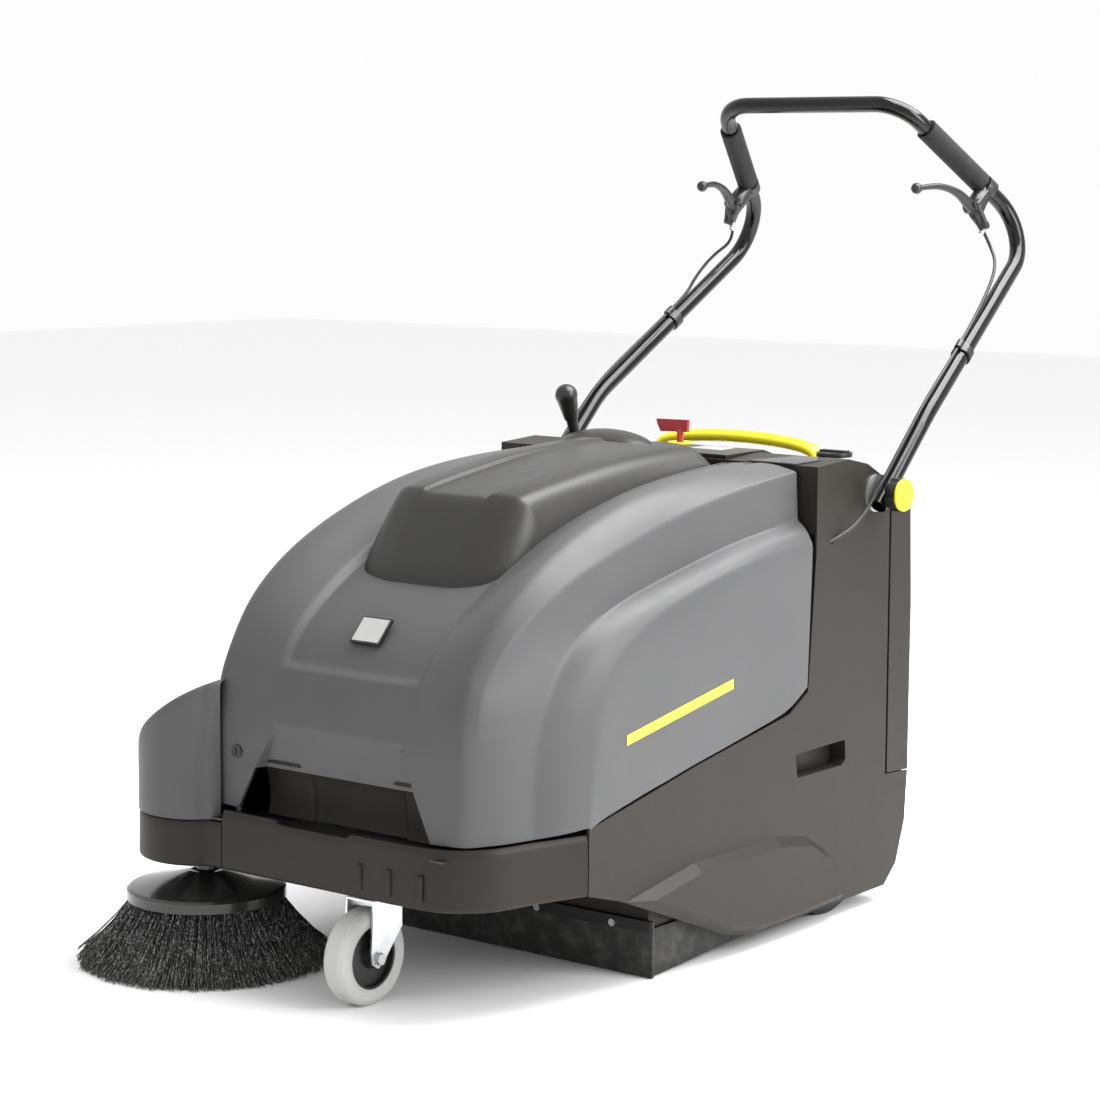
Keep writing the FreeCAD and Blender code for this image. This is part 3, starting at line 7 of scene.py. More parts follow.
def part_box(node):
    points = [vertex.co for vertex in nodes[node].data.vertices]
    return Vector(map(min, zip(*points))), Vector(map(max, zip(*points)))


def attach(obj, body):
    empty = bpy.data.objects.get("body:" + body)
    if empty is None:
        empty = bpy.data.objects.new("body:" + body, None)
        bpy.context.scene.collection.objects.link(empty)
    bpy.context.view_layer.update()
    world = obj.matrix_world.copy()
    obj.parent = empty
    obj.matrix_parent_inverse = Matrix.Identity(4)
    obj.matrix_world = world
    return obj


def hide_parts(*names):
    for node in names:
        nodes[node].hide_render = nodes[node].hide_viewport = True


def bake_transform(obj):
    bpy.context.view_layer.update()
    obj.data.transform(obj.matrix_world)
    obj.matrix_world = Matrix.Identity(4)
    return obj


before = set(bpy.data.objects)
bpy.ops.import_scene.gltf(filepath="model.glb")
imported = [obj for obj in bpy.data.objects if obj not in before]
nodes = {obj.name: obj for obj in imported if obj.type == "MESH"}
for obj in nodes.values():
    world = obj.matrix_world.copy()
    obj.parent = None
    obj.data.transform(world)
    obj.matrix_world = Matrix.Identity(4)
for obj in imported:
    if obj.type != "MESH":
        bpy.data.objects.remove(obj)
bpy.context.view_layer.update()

# The machine's own middle line, from the handle, which is the same on both sides.
low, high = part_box("handle_tube")
MID = (low.x + high.x) / 2


def at(c, y, z):
    """A point given in millimetres from the machine's middle line, in metres in the row frame."""
    return Vector((MID + c / 1000, y / 1000, z / 1000))


# ---- finishes -----------------------------------------------------------------------------
class Value:
    """A socket of a finish, which adds its Math nodes as it is used in sums."""

    def __init__(self, finish, socket):
        self.finish, self.socket = finish, socket

    def sum(self, operation, first, second):
        return self.finish.node("ShaderNodeMath", {"operation": operation}, {0: first, 1: second})

    def __add__(self, other):
        return self.sum("ADD", self, other)

    def __radd__(self, other):
        return self.sum("ADD", other, self)

    def __sub__(self, other):
        return self.sum("SUBTRACT", self, other)

    def __rsub__(self, other):
        return self.sum("SUBTRACT", other, self)

    def __mul__(self, other):
        return self.sum("MULTIPLY", self, other)

    def __rmul__(self, other):
        return self.sum("MULTIPLY", other, self)

    def __gt__(self, other):
        return self.sum("GREATER_THAN", self, other)

    def __pow__(self, other):
        return self.sum("POWER", self, other)

class Finish:
    """A material with its own node tree."""

    def __init__(self, name):
        self.material = bpy.data.materials.new(name)
        self.material.use_nodes = True
        self.tree = self.material.node_tree
        self.shader = self.tree.nodes["Principled BSDF"]
        self.place = self.node("ShaderNodeTexCoord", {}, {}, "Object")

    def node(self, kind, settings, values, output=0):
        made = self.tree.nodes.new(kind)
        for key, value in settings.items():
            setattr(made, key, value)
        for key, value in values.items():
            if isinstance(value, Value):
                self.tree.links.new(value.socket, made.inputs[key])
            else:
                made.inputs[key].default_value = value
        return Value(self, made.outputs[output])

    def set(self, **values):
        for key, value in values.items():
            key = key.replace("_", " ")
            if isinstance(value, Value):
                self.tree.links.new(value.socket, self.shader.inputs[key])
            else:
                self.shader.inputs[key].default_value = value

    def noise(self, scale, detail=3.0, rough=0.5, stretch=(1, 1, 1)):
        place = self.place
        if stretch != (1, 1, 1):
            place = self.node("ShaderNodeMapping", {}, {"Vector": place, "Scale": stretch})
        return self.node("ShaderNodeTexNoise", {},
                         {"Vector": place, "Scale": scale, "Detail": detail, "Roughness": rough}, "Fac")

    def cells(self, scale):
        return self.node("ShaderNodeTexVoronoi", {}, {"Vector": self.place, "Scale": scale}, "Distance")

    def ramp(self, value, low, high):
        return self.node("ShaderNodeMapRange", {}, {"Value": value, 1: low, 2: high, 3: 0.0, 4: 1.0})

    def blend(self, share, first, second):
        """Colour between two colours or colour sockets."""
        mix = self.tree.nodes.new("ShaderNodeMix")
        mix.data_type = "RGBA"
        for socket, value in ((mix.inputs[0], share), (mix.inputs[6], first), (mix.inputs[7], second)):
            if isinstance(value, Value):
                self.tree.links.new(value.socket, socket)
            else:
                socket.default_value = value
        return Value(self, mix.outputs[2])

    def bump(self, height, strength, depth):
        return self.node("ShaderNodeBump", {}, {"Height": height, "Strength": strength, "Distance": depth})

    def height_of(self):
        """Height above the floor, in metres."""
        return self.node("ShaderNodeSeparateXYZ", {}, {"Vector": self.place}, "Z")


def tone(r, g, b):
    return (r, g, b, 1.0)


def moulded(name, colour, rough, grain=0.10, dust=0.18, gloss=0.5):
    """Moulded plastic: fine spark grain, slow colour drift, dust in patches and light scuffs."""
    f = Finish(name)
    drift = f.noise(5.0, 4.0)
    patch = f.ramp(f.noise(22.0, 6.0, 0.62), 0.50, 0.78)
    scuff = f.ramp(f.noise(90.0, 4.0, 0.6, (0.25, 0.25, 2.2)), 0.66, 0.80)
    lighter = tone(*[min(1, c * 1.18 + 0.002) for c in colour])
    darker = tone(*[c * 0.86 for c in colour])
    dusty = tone(*[c * 0.8 + 0.035 for c in colour])
    base = f.blend(drift, darker, lighter)
    base = f.blend(patch * dust, base, dusty)
    base = f.blend(scuff * (dust * 0.5), base, tone(0.20, 0.195, 0.185))
    f.set(Base_Color=base, Roughness=f.noise(60.0, 3.0) * 0.10 + patch * 0.06 + (rough - 0.06))
    f.shader.inputs["Specular IOR Level"].default_value = gloss
    stipple = f.noise(1500.0, 2.0) + f.cells(900.0) * 0.5
    f.set(Normal=f.bump(stipple, grain, 0.0004))
    return f.material


def painted(name, colour, rough, coat=0.5):
    """Powder or gloss paint over metal: slight orange peel, dust specks and rubbed places."""
    f = Finish(name)
    speck = f.ramp(f.noise(420.0, 2.0), 0.70, 0.78)
    rubbed = f.ramp(f.noise(34.0, 6.0, 0.6), 0.62, 0.80)
    base = f.blend(rubbed * 0.22, tone(*colour), tone(*[c + 0.012 for c in colour]))
    base = f.blend(speck * 0.12, base, tone(0.20, 0.19, 0.18))
    f.set(Base_Color=base, Roughness=rubbed * 0.14 + f.noise(120.0) * 0.06 + rough)
    f.shader.inputs["Coat Weight"].default_value = coat
    f.shader.inputs["Specular IOR Level"].default_value = 0.3
    f.shader.inputs["Coat Roughness"].default_value = 0.12
    f.set(Normal=f.bump(f.noise(260.0, 2.0), 0.06, 0.0006))
    return f.material


def plated(name, colour, rough, spangle=0.5, dirt=0.25):
    """Zinc plated or bare steel: spangle, wiping marks and grey dirt in the low places."""
    f = Finish(name)
    grains = f.node("ShaderNodeTexVoronoi", {}, {"Vector": f.place, "Scale": 240.0}, "Color")
    grey = f.node("ShaderNodeSeparateColor", {}, {"Color": grains}, 0)
    marks = f.noise(160.0, 4.0, 0.6, (1, 1, 6))
    soil = f.ramp(f.noise(48.0, 6.0, 0.6), 0.55, 0.82)
    base = f.blend(grey * spangle, tone(*[c * 0.82 for c in colour]), tone(*colour))
    base = f.blend(soil * dirt, base, tone(0.10, 0.095, 0.09))
    f.set(Base_Color=base, Metallic=1.0 - soil * (dirt * 0.8),
          Roughness=marks * 0.18 + grey * 0.08 + soil * 0.2 + rough)
    f.set(Normal=f.bump(marks + grey * 0.4, 0.10, 0.0004))
    return f.material


def rubber(name, colour, rough, wear):
    """Rubber with fine pitting and a paler worn film."""
    f = Finish(name)
    film = f.ramp(f.noise(40.0, 7.0, 0.65), 0.46, 0.75)
    pits = f.ramp(f.noise(700.0, 2.0), 0.60, 0.72)
    base = f.blend(film * wear, tone(*colour), tone(*[c * 0.75 + 0.12 for c in colour]))
    base = f.blend(pits * 0.25, base, tone(*[c * 0.6 for c in colour]))
    f.set(Base_Color=base, Roughness=film * 0.12 + rough)
    f.shader.inputs["Specular IOR Level"].default_value = 0.3
    f.set(Normal=f.bump(pits * -1.0 + f.noise(300.0) * 0.6, 0.18, 0.0006))
    return f.material


def bristle_finish(name, dark, pale, share):
    """Nylon bristles: each a little different in shade, dustier towards the floor."""
    f = Finish(name)
    strand = f.noise(520.0, 1.0, 0.5, (1, 1, 0.03))
    pick = f.ramp(strand, 0.60 - share * 0.4, 0.66 - share * 0.4)
    base = f.blend(pick, tone(*dark), tone(*pale))
    low_part = 1.0 - f.ramp(f.height_of(), 0.0, 0.06)
    base = f.blend(low_part * 0.22, base, tone(0.10, 0.095, 0.085))
    f.set(Base_Color=base, Roughness=strand * 0.2 + 0.38)
    f.set(Normal=f.bump(f.noise(900.0, 1.0, 0.5, (1, 1, 0.05)), 0.2, 0.0005))
    return f.material


GREY = moulded("housing grey plastic", (0.070, 0.070, 0.072), 0.44, 0.10, 0.06, 0.3)
ANTHRACITE = moulded("body anthracite plastic", (0.017, 0.0142, 0.0115), 0.46, 0.12, 0.08, 0.22)
DOME_GREY = moulded("dome grey plastic", (0.023, 0.022, 0.021), 0.38, 0.10, 0.06, 0.32)
BLACK = moulded("black fittings plastic", (0.008, 0.008, 0.008), 0.36, 0.10, 0.12)
GRIP_RUBBER = rubber("handle grip foam", (0.012, 0.012, 0.012), 0.70, 0.10)
TUBE_BLACK = painted("gloss black tube paint", (0.0015, 0.0015, 0.0015), 0.13, 0.15)
STEEL_BLACK = painted("satin black steel paint", (0.008, 0.008, 0.008), 0.34, 0.2)
DISC_BLACK = painted("brush disc black", (0.020, 0.019, 0.018), 0.22, 0.5)
YELLOW = moulded("yellow handle plastic", (0.83, 0.74, 0.015), 0.30, 0.05, 0.06, 0.6)
RED = moulded("red key plastic", (0.36, 0.012, 0.022), 0.34, 0.05, 0.08, 0.6)
TYRE_GREY = rubber("light grey tyre rubber", (0.43, 0.43, 0.42), 0.62, 0.35)
TYRE_BLACK = rubber("black tyre rubber", (0.022, 0.022, 0.022), 0.70, 0.45)
FLAP_RUBBER = rubber("flap rubber", (0.020, 0.019, 0.018), 0.58, 0.40)
ZINC = plated("zinc plated steel", (0.78, 0.79, 0.81), 0.20, 0.6, 0.12)
SCREW = plated("bright screws", (0.62, 0.62, 0.62), 0.24, 0.4, 0.30)
SILVER = plated("silver plate", (0.74, 0.74, 0.73), 0.30, 0.3, 0.06)
GALVANISED = plated("galvanised rod", (0.52, 0.52, 0.53), 0.30, 0.5, 0.35)
PAPER = moulded("filter paper", (0.62, 0.56, 0.42), 0.80, 0.20, 0.30, 0.2)
BRUSH_BLACK = bristle_finish("side brush bristles", (0.010, 0.010, 0.010), (0.30, 0.30, 0.29), 0.10)
ROLLER_BLACK = bristle_finish("roller bristles", (0.012, 0.011, 0.010), (0.10, 0.09, 0.08), 0.30)
COPPER_CASE = plated("motor case", (0.30, 0.30, 0.31), 0.36, 0.4, 0.45)
BATTERY_CASE = moulded("battery case", (0.060, 0.062, 0.066), 0.40, 0.10, 0.25)
INNER_GREY = moulded("inner housing plastic", (0.20, 0.20, 0.20), 0.55, 0.12, 0.30)

NODES_OF = {
    ANTHRACITE: ("chassis_frame", "front_bumper", "brush_housing_base", "side_panel_right",
                 "side_panel_left", "rear_deck", "dirt_container"),
    GREY: ("brush_housing_cap", "hood_shell"),
    BLACK: ("control_panel", "hood_lock", "lift_lever", "filter_shaker_knob", "caster_hub",
            "lever_brackets", "cable_clips", "brake_lever_right", "brake_lever_left", "clamp_knob_right",
            "clamp_knob_left"),
    SILVER: ("display_plate", "pivot_discs", "badge_plate"),
    YELLOW: ("key_switch_ring", "container_handle", "knob_cap_right", "knob_cap_left"),
    STEEL_BLACK: ("hood_hinge_pins", "flap_strip", "bowden_cables"),
    BATTERY_CASE: ("battery",),
    COPPER_CASE: ("drive_motor", "side_brush_motor"),
    FLAP_RUBBER: ("drive_belt", "front_flap", "chamber_flaps"),
    GALVANISED: ("roller_bearings", "brush_guide_rods", "rear_axles", "motor_pulley"),
    PAPER: ("flat_filter",),
    INNER_GREY: ("fan_housing", "roller_core", "fan_impeller"),
    SCREW: ("flap_screws", "caster_screws", "caster_axle"),
    ZINC: ("caster_plate", "caster_fork"),
    DOME_GREY: ("hood_dome",),
    RED: ("switch_key",),
    ROLLER_BLACK: ("roller_bristles",),
    DISC_BLACK: ("side_brush_disc",),
    BRUSH_BLACK: ("side_brush_bristles",),
    TYRE_GREY: ("caster_tyre",),
    TYRE_BLACK: ("rear_wheel_right", "rear_wheel_left"),
    TUBE_BLACK: ("handle_tube",),
    GRIP_RUBBER: ("grips",),
}
for finish, names in NODES_OF.items():
    for name in names:
        nodes[name].data.materials.clear()
        nodes[name].data.materials.append(finish)


def soften(name, width, angle=32):
    """Breaks a CAD node's sharp edges with a small radius, as a mould or a press leaves them."""
    node = nodes[name]
    weld = node.modifiers.new("joined corners", "WELD")
    weld.merge_threshold = 0.00002
    edge = node.modifiers.new("broken edges", "BEVEL")
    edge.width = width / 1000
    edge.segments = 2
    edge.limit_method = "ANGLE"
    edge.angle_limit = math.radians(angle)
    edge.harden_normals = False
    edge.use_clamp_overlap = True


# ---- modelling helpers --------------------------------------------------------------------
def start():
    """Back to object mode with nothing selected."""
    if bpy.context.object and bpy.context.object.mode != "OBJECT":
        bpy.ops.object.mode_set(mode="OBJECT")
    bpy.ops.object.select_all(action="DESELECT")


def made(name, finish):
    """Names the new primitive and gives it its finish."""
    piece = bpy.context.object
    piece.name = name
    piece.data.name = name
    piece.data.materials.clear()
    piece.data.materials.append(finish)
    return piece


def apply(piece, kind, **settings):
    """Adds one modifier and applies it."""
    start()
    bpy.context.view_layer.objects.active = piece
    piece.select_set(True)
    step = piece.modifiers.new(kind.lower(), kind)
    for key, value in settings.items():
        setattr(step, key, value)
    bpy.ops.object.modifier_apply(modifier=step.name)
    return piece


def rest(piece, body, *stood_for):
    """Puts the piece's place into its mesh, and lets it ride on a body for the nodes that it replaces."""
    start()
    bpy.context.view_layer.objects.active = piece
    piece.select_set(True)
    bpy.ops.object.transform_apply(location=True, rotation=True, scale=True)
    piece.select_set(False)
    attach(piece, body)
    if stood_for:
        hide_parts(*stood_for)
    return piece


def smooth(piece, angle=30):
    """Shades the piece smooth, but for the edges sharper than the angle."""
    start()
    bpy.context.view_layer.objects.active = piece
    piece.select_set(True)
    bpy.ops.object.shade_smooth_by_angle(angle=math.radians(angle))
    return piece


def outward(piece):
    """Makes the faces of the sheet point one way."""
    start()
    bpy.context.view_layer.objects.active = piece
    piece.select_set(True)
    bpy.ops.object.mode_set(mode="EDIT")
    bpy.ops.mesh.select_all(action="SELECT")
    bpy.ops.mesh.normals_make_consistent(inside=False)
    bpy.ops.object.mode_set(mode="OBJECT")
    return piece


UPWARDS = Vector((0, 0, 1))


def skin(name, finish, rows):
    """A sheet through rows of points, each row with as many points as the next."""
    start()
    across, along = len(rows[0]), len(rows)
    bpy.ops.mesh.primitive_grid_add(x_subdivisions=across - 1, y_subdivisions=along - 1, size=1)
    piece = made(name, finish)
    for i, row in enumerate(rows):
        for j, point in enumerate(row):
            piece.data.vertices[i * across + j].co = point
    return piece


def crease(piece, pairs):
    """Sharpens edges for the subdivision: pairs gives a sharpness for each edge's two points."""
    layer = piece.data.attributes.new("crease_edge", "FLOAT", "EDGE")
    for edge in piece.data.edges:
        key = tuple(sorted(edge.vertices))
        layer.data[edge.index].value = pairs.get(key, 0.0)


def drop_faces(piece, test):
    """Opens the sheet where the test picks a face."""
    start()
    bpy.context.view_layer.objects.active = piece
    piece.select_set(True)
    bpy.ops.object.mode_set(mode="EDIT")
    bpy.ops.mesh.select_mode(type="FACE")
    bpy.ops.mesh.select_all(action="DESELECT")
    bpy.ops.object.mode_set(mode="OBJECT")
    for face in piece.data.polygons:
        face.select = test(face)
    bpy.ops.object.mode_set(mode="EDIT")
    bpy.ops.mesh.delete(type="FACE")
    bpy.ops.object.mode_set(mode="OBJECT")
    return piece


def strands(name, finish, lines, thickness):
    """Bristles or wires as one mesh: each line is a list of points."""
    start()
    curve = bpy.data.curves.new(name, "CURVE")
    curve.dimensions = "3D"
    curve.bevel_depth = thickness / 2000
    curve.bevel_resolution = 0
    curve.use_fill_caps = True
    for line in lines:
        spline = curve.splines.new("POLY")
        spline.points.add(len(line) - 1)
        for point, place in zip(spline.points, line):
            point.co = (place[0], place[1], place[2], 1)
    drawn = bpy.data.objects.new(name, curve)
    bpy.context.scene.collection.objects.link(drawn)
    bpy.context.view_layer.objects.active = drawn
    drawn.select_set(True)
    bpy.ops.object.convert(target="MESH")
    return made(name, finish)


def hose(name, finish, points, radius, thickness=None):
    """A round cable or arm along a smooth line; thickness gives each point's share of the radius."""
    start()
    curve = bpy.data.curves.new(name, "CURVE")
    curve.dimensions = "3D"
    curve.bevel_depth = radius / 1000
    curve.bevel_resolution = 4
    curve.use_fill_caps = True
    spline = curve.splines.new("NURBS")
    spline.points.add(len(points) - 1)
    for point, place, share in zip(spline.points, points, thickness or [1] * len(points)):
        point.co = (place[0], place[1], place[2], 1)
        point.radius = share
    spline.order_u = 3
    spline.use_endpoint_u = True
    spline.resolution_u = 10
    drawn = bpy.data.objects.new(name, curve)
    bpy.context.scene.collection.objects.link(drawn)
    bpy.context.view_layer.objects.active = drawn
    drawn.select_set(True)
    bpy.ops.object.convert(target="MESH")
    return smooth(made(name, finish), 60)


def flip_to(piece, aim):
    """Turns the sheet's faces so that its highest one faces the aim."""
    outward(piece)
    top = max(piece.data.polygons, key=lambda f: f.center.dot(aim))
    if top.normal.dot(aim) < 0:
        bpy.ops.object.mode_set(mode="EDIT")
        bpy.ops.mesh.select_all(action="SELECT")
        bpy.ops.mesh.flip_normals()
        bpy.ops.object.mode_set(mode="OBJECT")


def moulding(name, finish, rows, sharp_lines, aim, wall, body, *stood_for, levels=3, sharp_rows=()):
    """A smooth moulded wall through rows of points, sharper along the given lines, with a real thickness."""
    piece = skin(name, finish, rows)
    along = len(rows[0])
    pairs = {}
    for i in range(len(rows)):
        for j in range(along):
            here = i * along + j
            if j < along - 1 and i in sharp_lines:
                pairs[(here, here + 1)] = sharp_lines[i]
            if i < len(rows) - 1 and j in sharp_rows:
                pairs[(here, here + along)] = sharp_rows[j]
    crease(piece, pairs)
    apply(piece, "SUBSURF", levels=levels, render_levels=levels)
    flip_to(piece, Vector(aim))
    apply(piece, "SOLIDIFY", thickness=wall / 1000, offset=-1)
    smooth(piece, 40)
    return rest(piece, body, *stood_for)


# ---- hood ---------------------------------------------------------------------------------
# Lines along the hood from the lower front edge over the top to the rear, as (c, y, z).
CROWN = [(-581, 229), (-579, 285), (-575, 334), (-572, 348), (-561, 385), (-549, 416), (-543, 431),
         (-512, 475), (-413, 537), (-300, 588), (-200, 615), (-113, 634), (0, 647), (98, 652)]
RIDGE = [(-577, 229), (-579, 285), (-579, 336), (-578, 350), (-574, 390), (-562, 424), (-553, 444),
         (-510, 505), (-425, 571), (-300, 620), (-200, 645), (-113, 655), (-10, 659), (98, 657)]
BETWEEN = [(-570, 229), (-572, 285), (-573, 338), (-572, 352), (-568, 392), (-556, 422), (-546, 441),
           (-508, 496), (-425, 553), (-300, 599), (-200, 624), (-113, 636), (-10, 647), (98, 653)]
CREASE = [(-556, 229), (-558, 285), (-559, 338), (-558, 352), (-555, 394), (-545, 418), (-533, 438),
          (-499, 487), (-421, 538), (-296, 576), (-200, 600), (-100, 620), (-10, 636), (98, 647)]
CREASE_C = [225, 225, 225, 224, 223, 221, 221, 229, 239, 243, 243, 245, 248, 254]
BETWEEN_C = [215, 215, 215, 214, 213, 212, 212, 217, 224, 227, 227, 227, 229, 231]
GROOVE = [(251, -483, 229), (251, -483, 285), (251, -479, 338), (251, -476, 352), (251, -462, 393),
          (250, -440, 424), (250, -425, 441), (248, -395, 468), (247, -350, 492), (246, -290, 511),
          (246, -220, 527), (247, -140, 543), (250, -36, 565), (257, 98, 580)]
FACE = [(-409, 236), (-403, 285), (-396, 332), (-394, 348), (-386, 386), (-370, 418), (-356, 436),
        (-326, 460), (-280, 482), (-220, 501), (-160, 516), (-100, 528), (-11, 541), (97, 546)]
EDGE = [(-409, 232), (-385, 242), (-350, 249), (-335, 252), (-300, 259), (-270, 265), (-250, 268),
        (-215, 275), (-172, 283), (-110, 293), (-60, 302), (-10, 311), (45, 321), (88, 348)]


def hood_rows(side):
    """The lines across one half of the hood, from the middle outwards."""
    def line(c, pairs, back=0.0, down=0.0, first=0):
        cs = c if isinstance(c, list) else [c] * len(pairs)
        row = []
        for i, (y, z) in enumerate(pairs):
            sink = 1.0 if i >= first else 0.0
            row.append((cs[i], y + back * sink, z - down * sink))
        return row

    pressed = [list(p) for p in CROWN]
    pressed[0][0] += 30
    pressed[1][0] += 18
    pressed[2][0] += 5
    inner = [tuple(p) for p in pressed]
    border_in = [152, 130, 107, 109, 112, 114, 113, 116, 119, 119, 119, 119, 119, 119]
    border_out = [166, 138, 114, 118, 124, 126, 124, 125, 128, 128, 128, 128, 128, 128]
    slope_c = [178, 160, 150, 150, 152, 155, 158, 160, 164, 165, 165, 165, 165, 165]
    slope = [((a[0] + b[0]) / 2 - (3 if i > 6 else 0), (a[1] + b[1]) / 2)
             for i, (a, b) in enumerate(zip(CROWN, RIDGE))]
    rows = [line(0, inner, 7, 7, 6), line(56, inner, 7, 7, 6), line(border_in, inner, 7, 7, 6),
            line(border_out, CROWN), line(slope_c, slope), line(202, RIDGE), line(BETWEEN_C, BETWEEN),
            line(CREASE_C, CREASE)]
    band = [((a + b[0]) / 2 + (3 if i < 7 else 0), (c[0] + b[1]) / 2 - (4 if i < 7 else 0), (c[1] + b[2]) / 2)
            for i, (a, c, b) in enumerate(zip(CREASE_C, CREASE, GROOVE))]
    swell = [(b[0] * 0.5 + 142 + 5, (b[1] + d[0]) / 2 - 3, (b[2] + d[1]) / 2 + (5 if i > 5 else 0))
             for i, (b, d) in enumerate(zip(GROOVE, FACE))]
    rows += [band, list(GROOVE), swell, line(284, FACE), line(284, EDGE)]
    result = []
    for row in rows:
        fixed = []
        for c, y, z in row:
            if side < 0 and z < 470 and c > 240 and y < -395:
                c = 240.0
            fixed.append(at(side * c, y, z))
        result.append(fixed)
    return result


half_right = hood_rows(1)
half_left = hood_rows(-1)
hood_lines = list(reversed(half_left))[:-1] + half_right
hood = skin("hood_cowl", GREY, hood_lines)
COUNT, STEPS = len(hood_lines), len(CROWN)
CENTRE = (COUNT - 1) // 2
# Sharpness of the lines along the hood, by their number from the middle: crease, groove, face and lower edge.
LINE_SHARPNESS = {7: 0.95, 9: 0.8, 11: 0.85, 12: 1.0}
sharp = {}
for r in range(COUNT):
    for s in range(STEPS):
        here = r * STEPS + s
        k = abs(r - CENTRE)
        if s < STEPS - 1:
            along = (here, here + 1)
            value = LINE_SHARPNESS.get(k, 0.0)
            if k in (2, 3) and (s >= 6 or s < 3):
                value = 0.8
            if k == 7 and s < 3:
                value = 0.0
            sharp[along] = value
        if r < COUNT - 1:
            across = (here, here + STEPS)
            middle = max(abs(r - CENTRE), abs(r + 1 - CENTRE))
            if s in (0, STEPS - 1):
                sharp[across] = 1.0
            elif s == 1 and middle <= 3:
                sharp[across] = 0.9
            elif s in (5, 6) and middle <= 3:
                sharp[across] = 0.8
            elif s in (2, 3) and middle <= 3:
                sharp[across] = 0.5
crease(hood, sharp)
# The hand recess is the opening between the lowest two rows in the middle.
gap_faces = {r * (STEPS - 1) for r in range(CENTRE - 3, CENTRE + 3)}
drop_faces(hood, lambda face: face.index in gap_faces)
apply(hood, "SUBSURF", levels=3, render_levels=3)
flip_to(hood, UPWARDS)
apply(hood, "SOLIDIFY", thickness=0.004, offset=-1, use_even_offset=False)
# Slots for the hinge lugs.
for c in (-186, -140, 140, 186):
    start()
    bpy.ops.mesh.primitive_cube_add(size=1, location=at(c, 86, 652))
    slot = bpy.context.object
    slot.scale = (0.008, 0.040, 0.050)
    apply(hood, "BOOLEAN", object=slot, operation="DIFFERENCE", solver="EXACT")
    bpy.data.objects.remove(slot)
smooth(hood, 40)
rest(hood, "hood", "hood_shell")

# ---- dome ---------------------------------------------------------------------------------
# Each line along the dome: its distance from the middle, then (y, z) from the front foot to the rear.
DOME_MIDDLE = [(-416, 520), (-413, 536), (-395, 562), (-349, 626), (-336, 634), (-300, 641), (-200, 656),
               (-113, 668), (0, 674), (60, 674), (74, 662), (86, 640)]
DOME_LINES = [
    (0, DOME_MIDDLE),
    (52, DOME_MIDDLE),
    (60, [(-415, 520), (-412, 536), (-394, 562), (-347, 628), (-334, 639), (-300, 647), (-200, 662),
          (-113, 674), (0, 679), (60, 679), (74, 664), (86, 640)]),
    (98, [(-408, 520), (-405, 537), (-386, 563), (-341, 628), (-328, 638), (-298, 646), (-200, 661),
          (-113, 673), (0, 678), (60, 678), (74, 664), (86, 640)]),
    (112, [(-398, 520), (-394, 538), (-376, 562), (-334, 620), (-322, 630), (-296, 637), (-200, 652),
           (-113, 663), (0, 669), (60, 670), (76, 660), (87, 640)]),
    (121, [(-384, 522), (-380, 540), (-364, 560), (-330, 600), (-318, 608), (-292, 615), (-200, 636),
           (-113, 648), (0, 656), (60, 658), (78, 652), (88, 640)]),
    (128, [(-366, 530), (-362, 545), (-352, 556), (-330, 574), (-316, 580), (-290, 592), (-200, 616),
           (-113, 634), (0, 647), (60, 650), (80, 645), (90, 638)]),
    (131, [(-362, 520), (-358, 528), (-350, 538), (-330, 556), (-316, 566), (-290, 576), (-200, 600),
           (-113, 618), (0, 632), (60, 636), (80, 634), (90, 630)]),
]
dome_rows = [[at(-c, y, z) for y, z in line] for c, line in reversed(DOME_LINES[1:])]
dome_rows += [[at(c, y, z) for y, z in line] for c, line in DOME_LINES]
dome = skin("hood_dome_cover", DOME_GREY, dome_rows)
steps = len(DOME_LINES[0][1])
middle = len(DOME_LINES) - 1
sharp = {}
for r in range(len(dome_rows)):
    for s in range(steps):
        here = r * steps + s
        if s < steps - 1 and abs(r - middle) in (1, 2) and s >= 3:
            sharp[(here, here + 1)] = 0.75
        if r < len(dome_rows) - 1 and s == 4:
            sharp[(here, here + steps)] = 0.45
        if r < len(dome_rows) - 1 and s == 9:
            sharp[(here, here + steps)] = 0.5
crease(dome, sharp)
apply(dome, "SUBSURF", levels=3, render_levels=3)
flip_to(dome, UPWARDS)
apply(dome, "SOLIDIFY", thickness=0.003, offset=-1)
smooth(dome, 40)
rest(dome, "hood", "hood_dome")

# ---- front corner: cap, base and bumper -----------------------------------------------------
AXIS_C, AXIS_Y, LOBE = -269.0, -538.0, 90.0


def lobe(depth, first, steps=14):
    """Outline round the side brush from the bumper's end to the side panel, moved in by depth."""
    r = LOBE - depth
    points = [(-180, -600 + depth), (-212, -600 + depth)]
    for i in range(steps):
        angle = math.radians(first - i * (130 + first + 50) / (steps - 1))
        points.append((AXIS_C + r * math.cos(angle), AXIS_Y + r * math.sin(angle)))
    points.append((-322 + depth, -470))
    points.append((-300 + depth, -430))
    points.append((-284 + depth, -412))
    return points


def cap_roof(c, y):
    """Height of the cap's sloping top."""
    line = [(-500, 196), (-365, 290), (-330, 318), (-245, 372), (-100, 452)]
    for (c0, z0), (c1, z1) in zip(line, line[1:]):
        if c <= c1:
            break
    across = z0 + (z1 - z0) * (c - c0) / (c1 - c0)
    back = 372 - (y + 480) * 1.12
    return min(across, back)


outline = [(-196, -583), (-203, -597)] + lobe(0, -54)[1:]
FOOT = 210.0                # lower edge of the cap
WALL_SHARES = (0.0, 0.45)   # shares of the wall's height, at its full width
ROOF_STEPS = ((0, 20), (2, 7), (9, 1.5), (24, 0), (48, 0))   # moved towards the hood, drop below the roof
HOOD_SIDE = -205            # the cap ends inside the hood


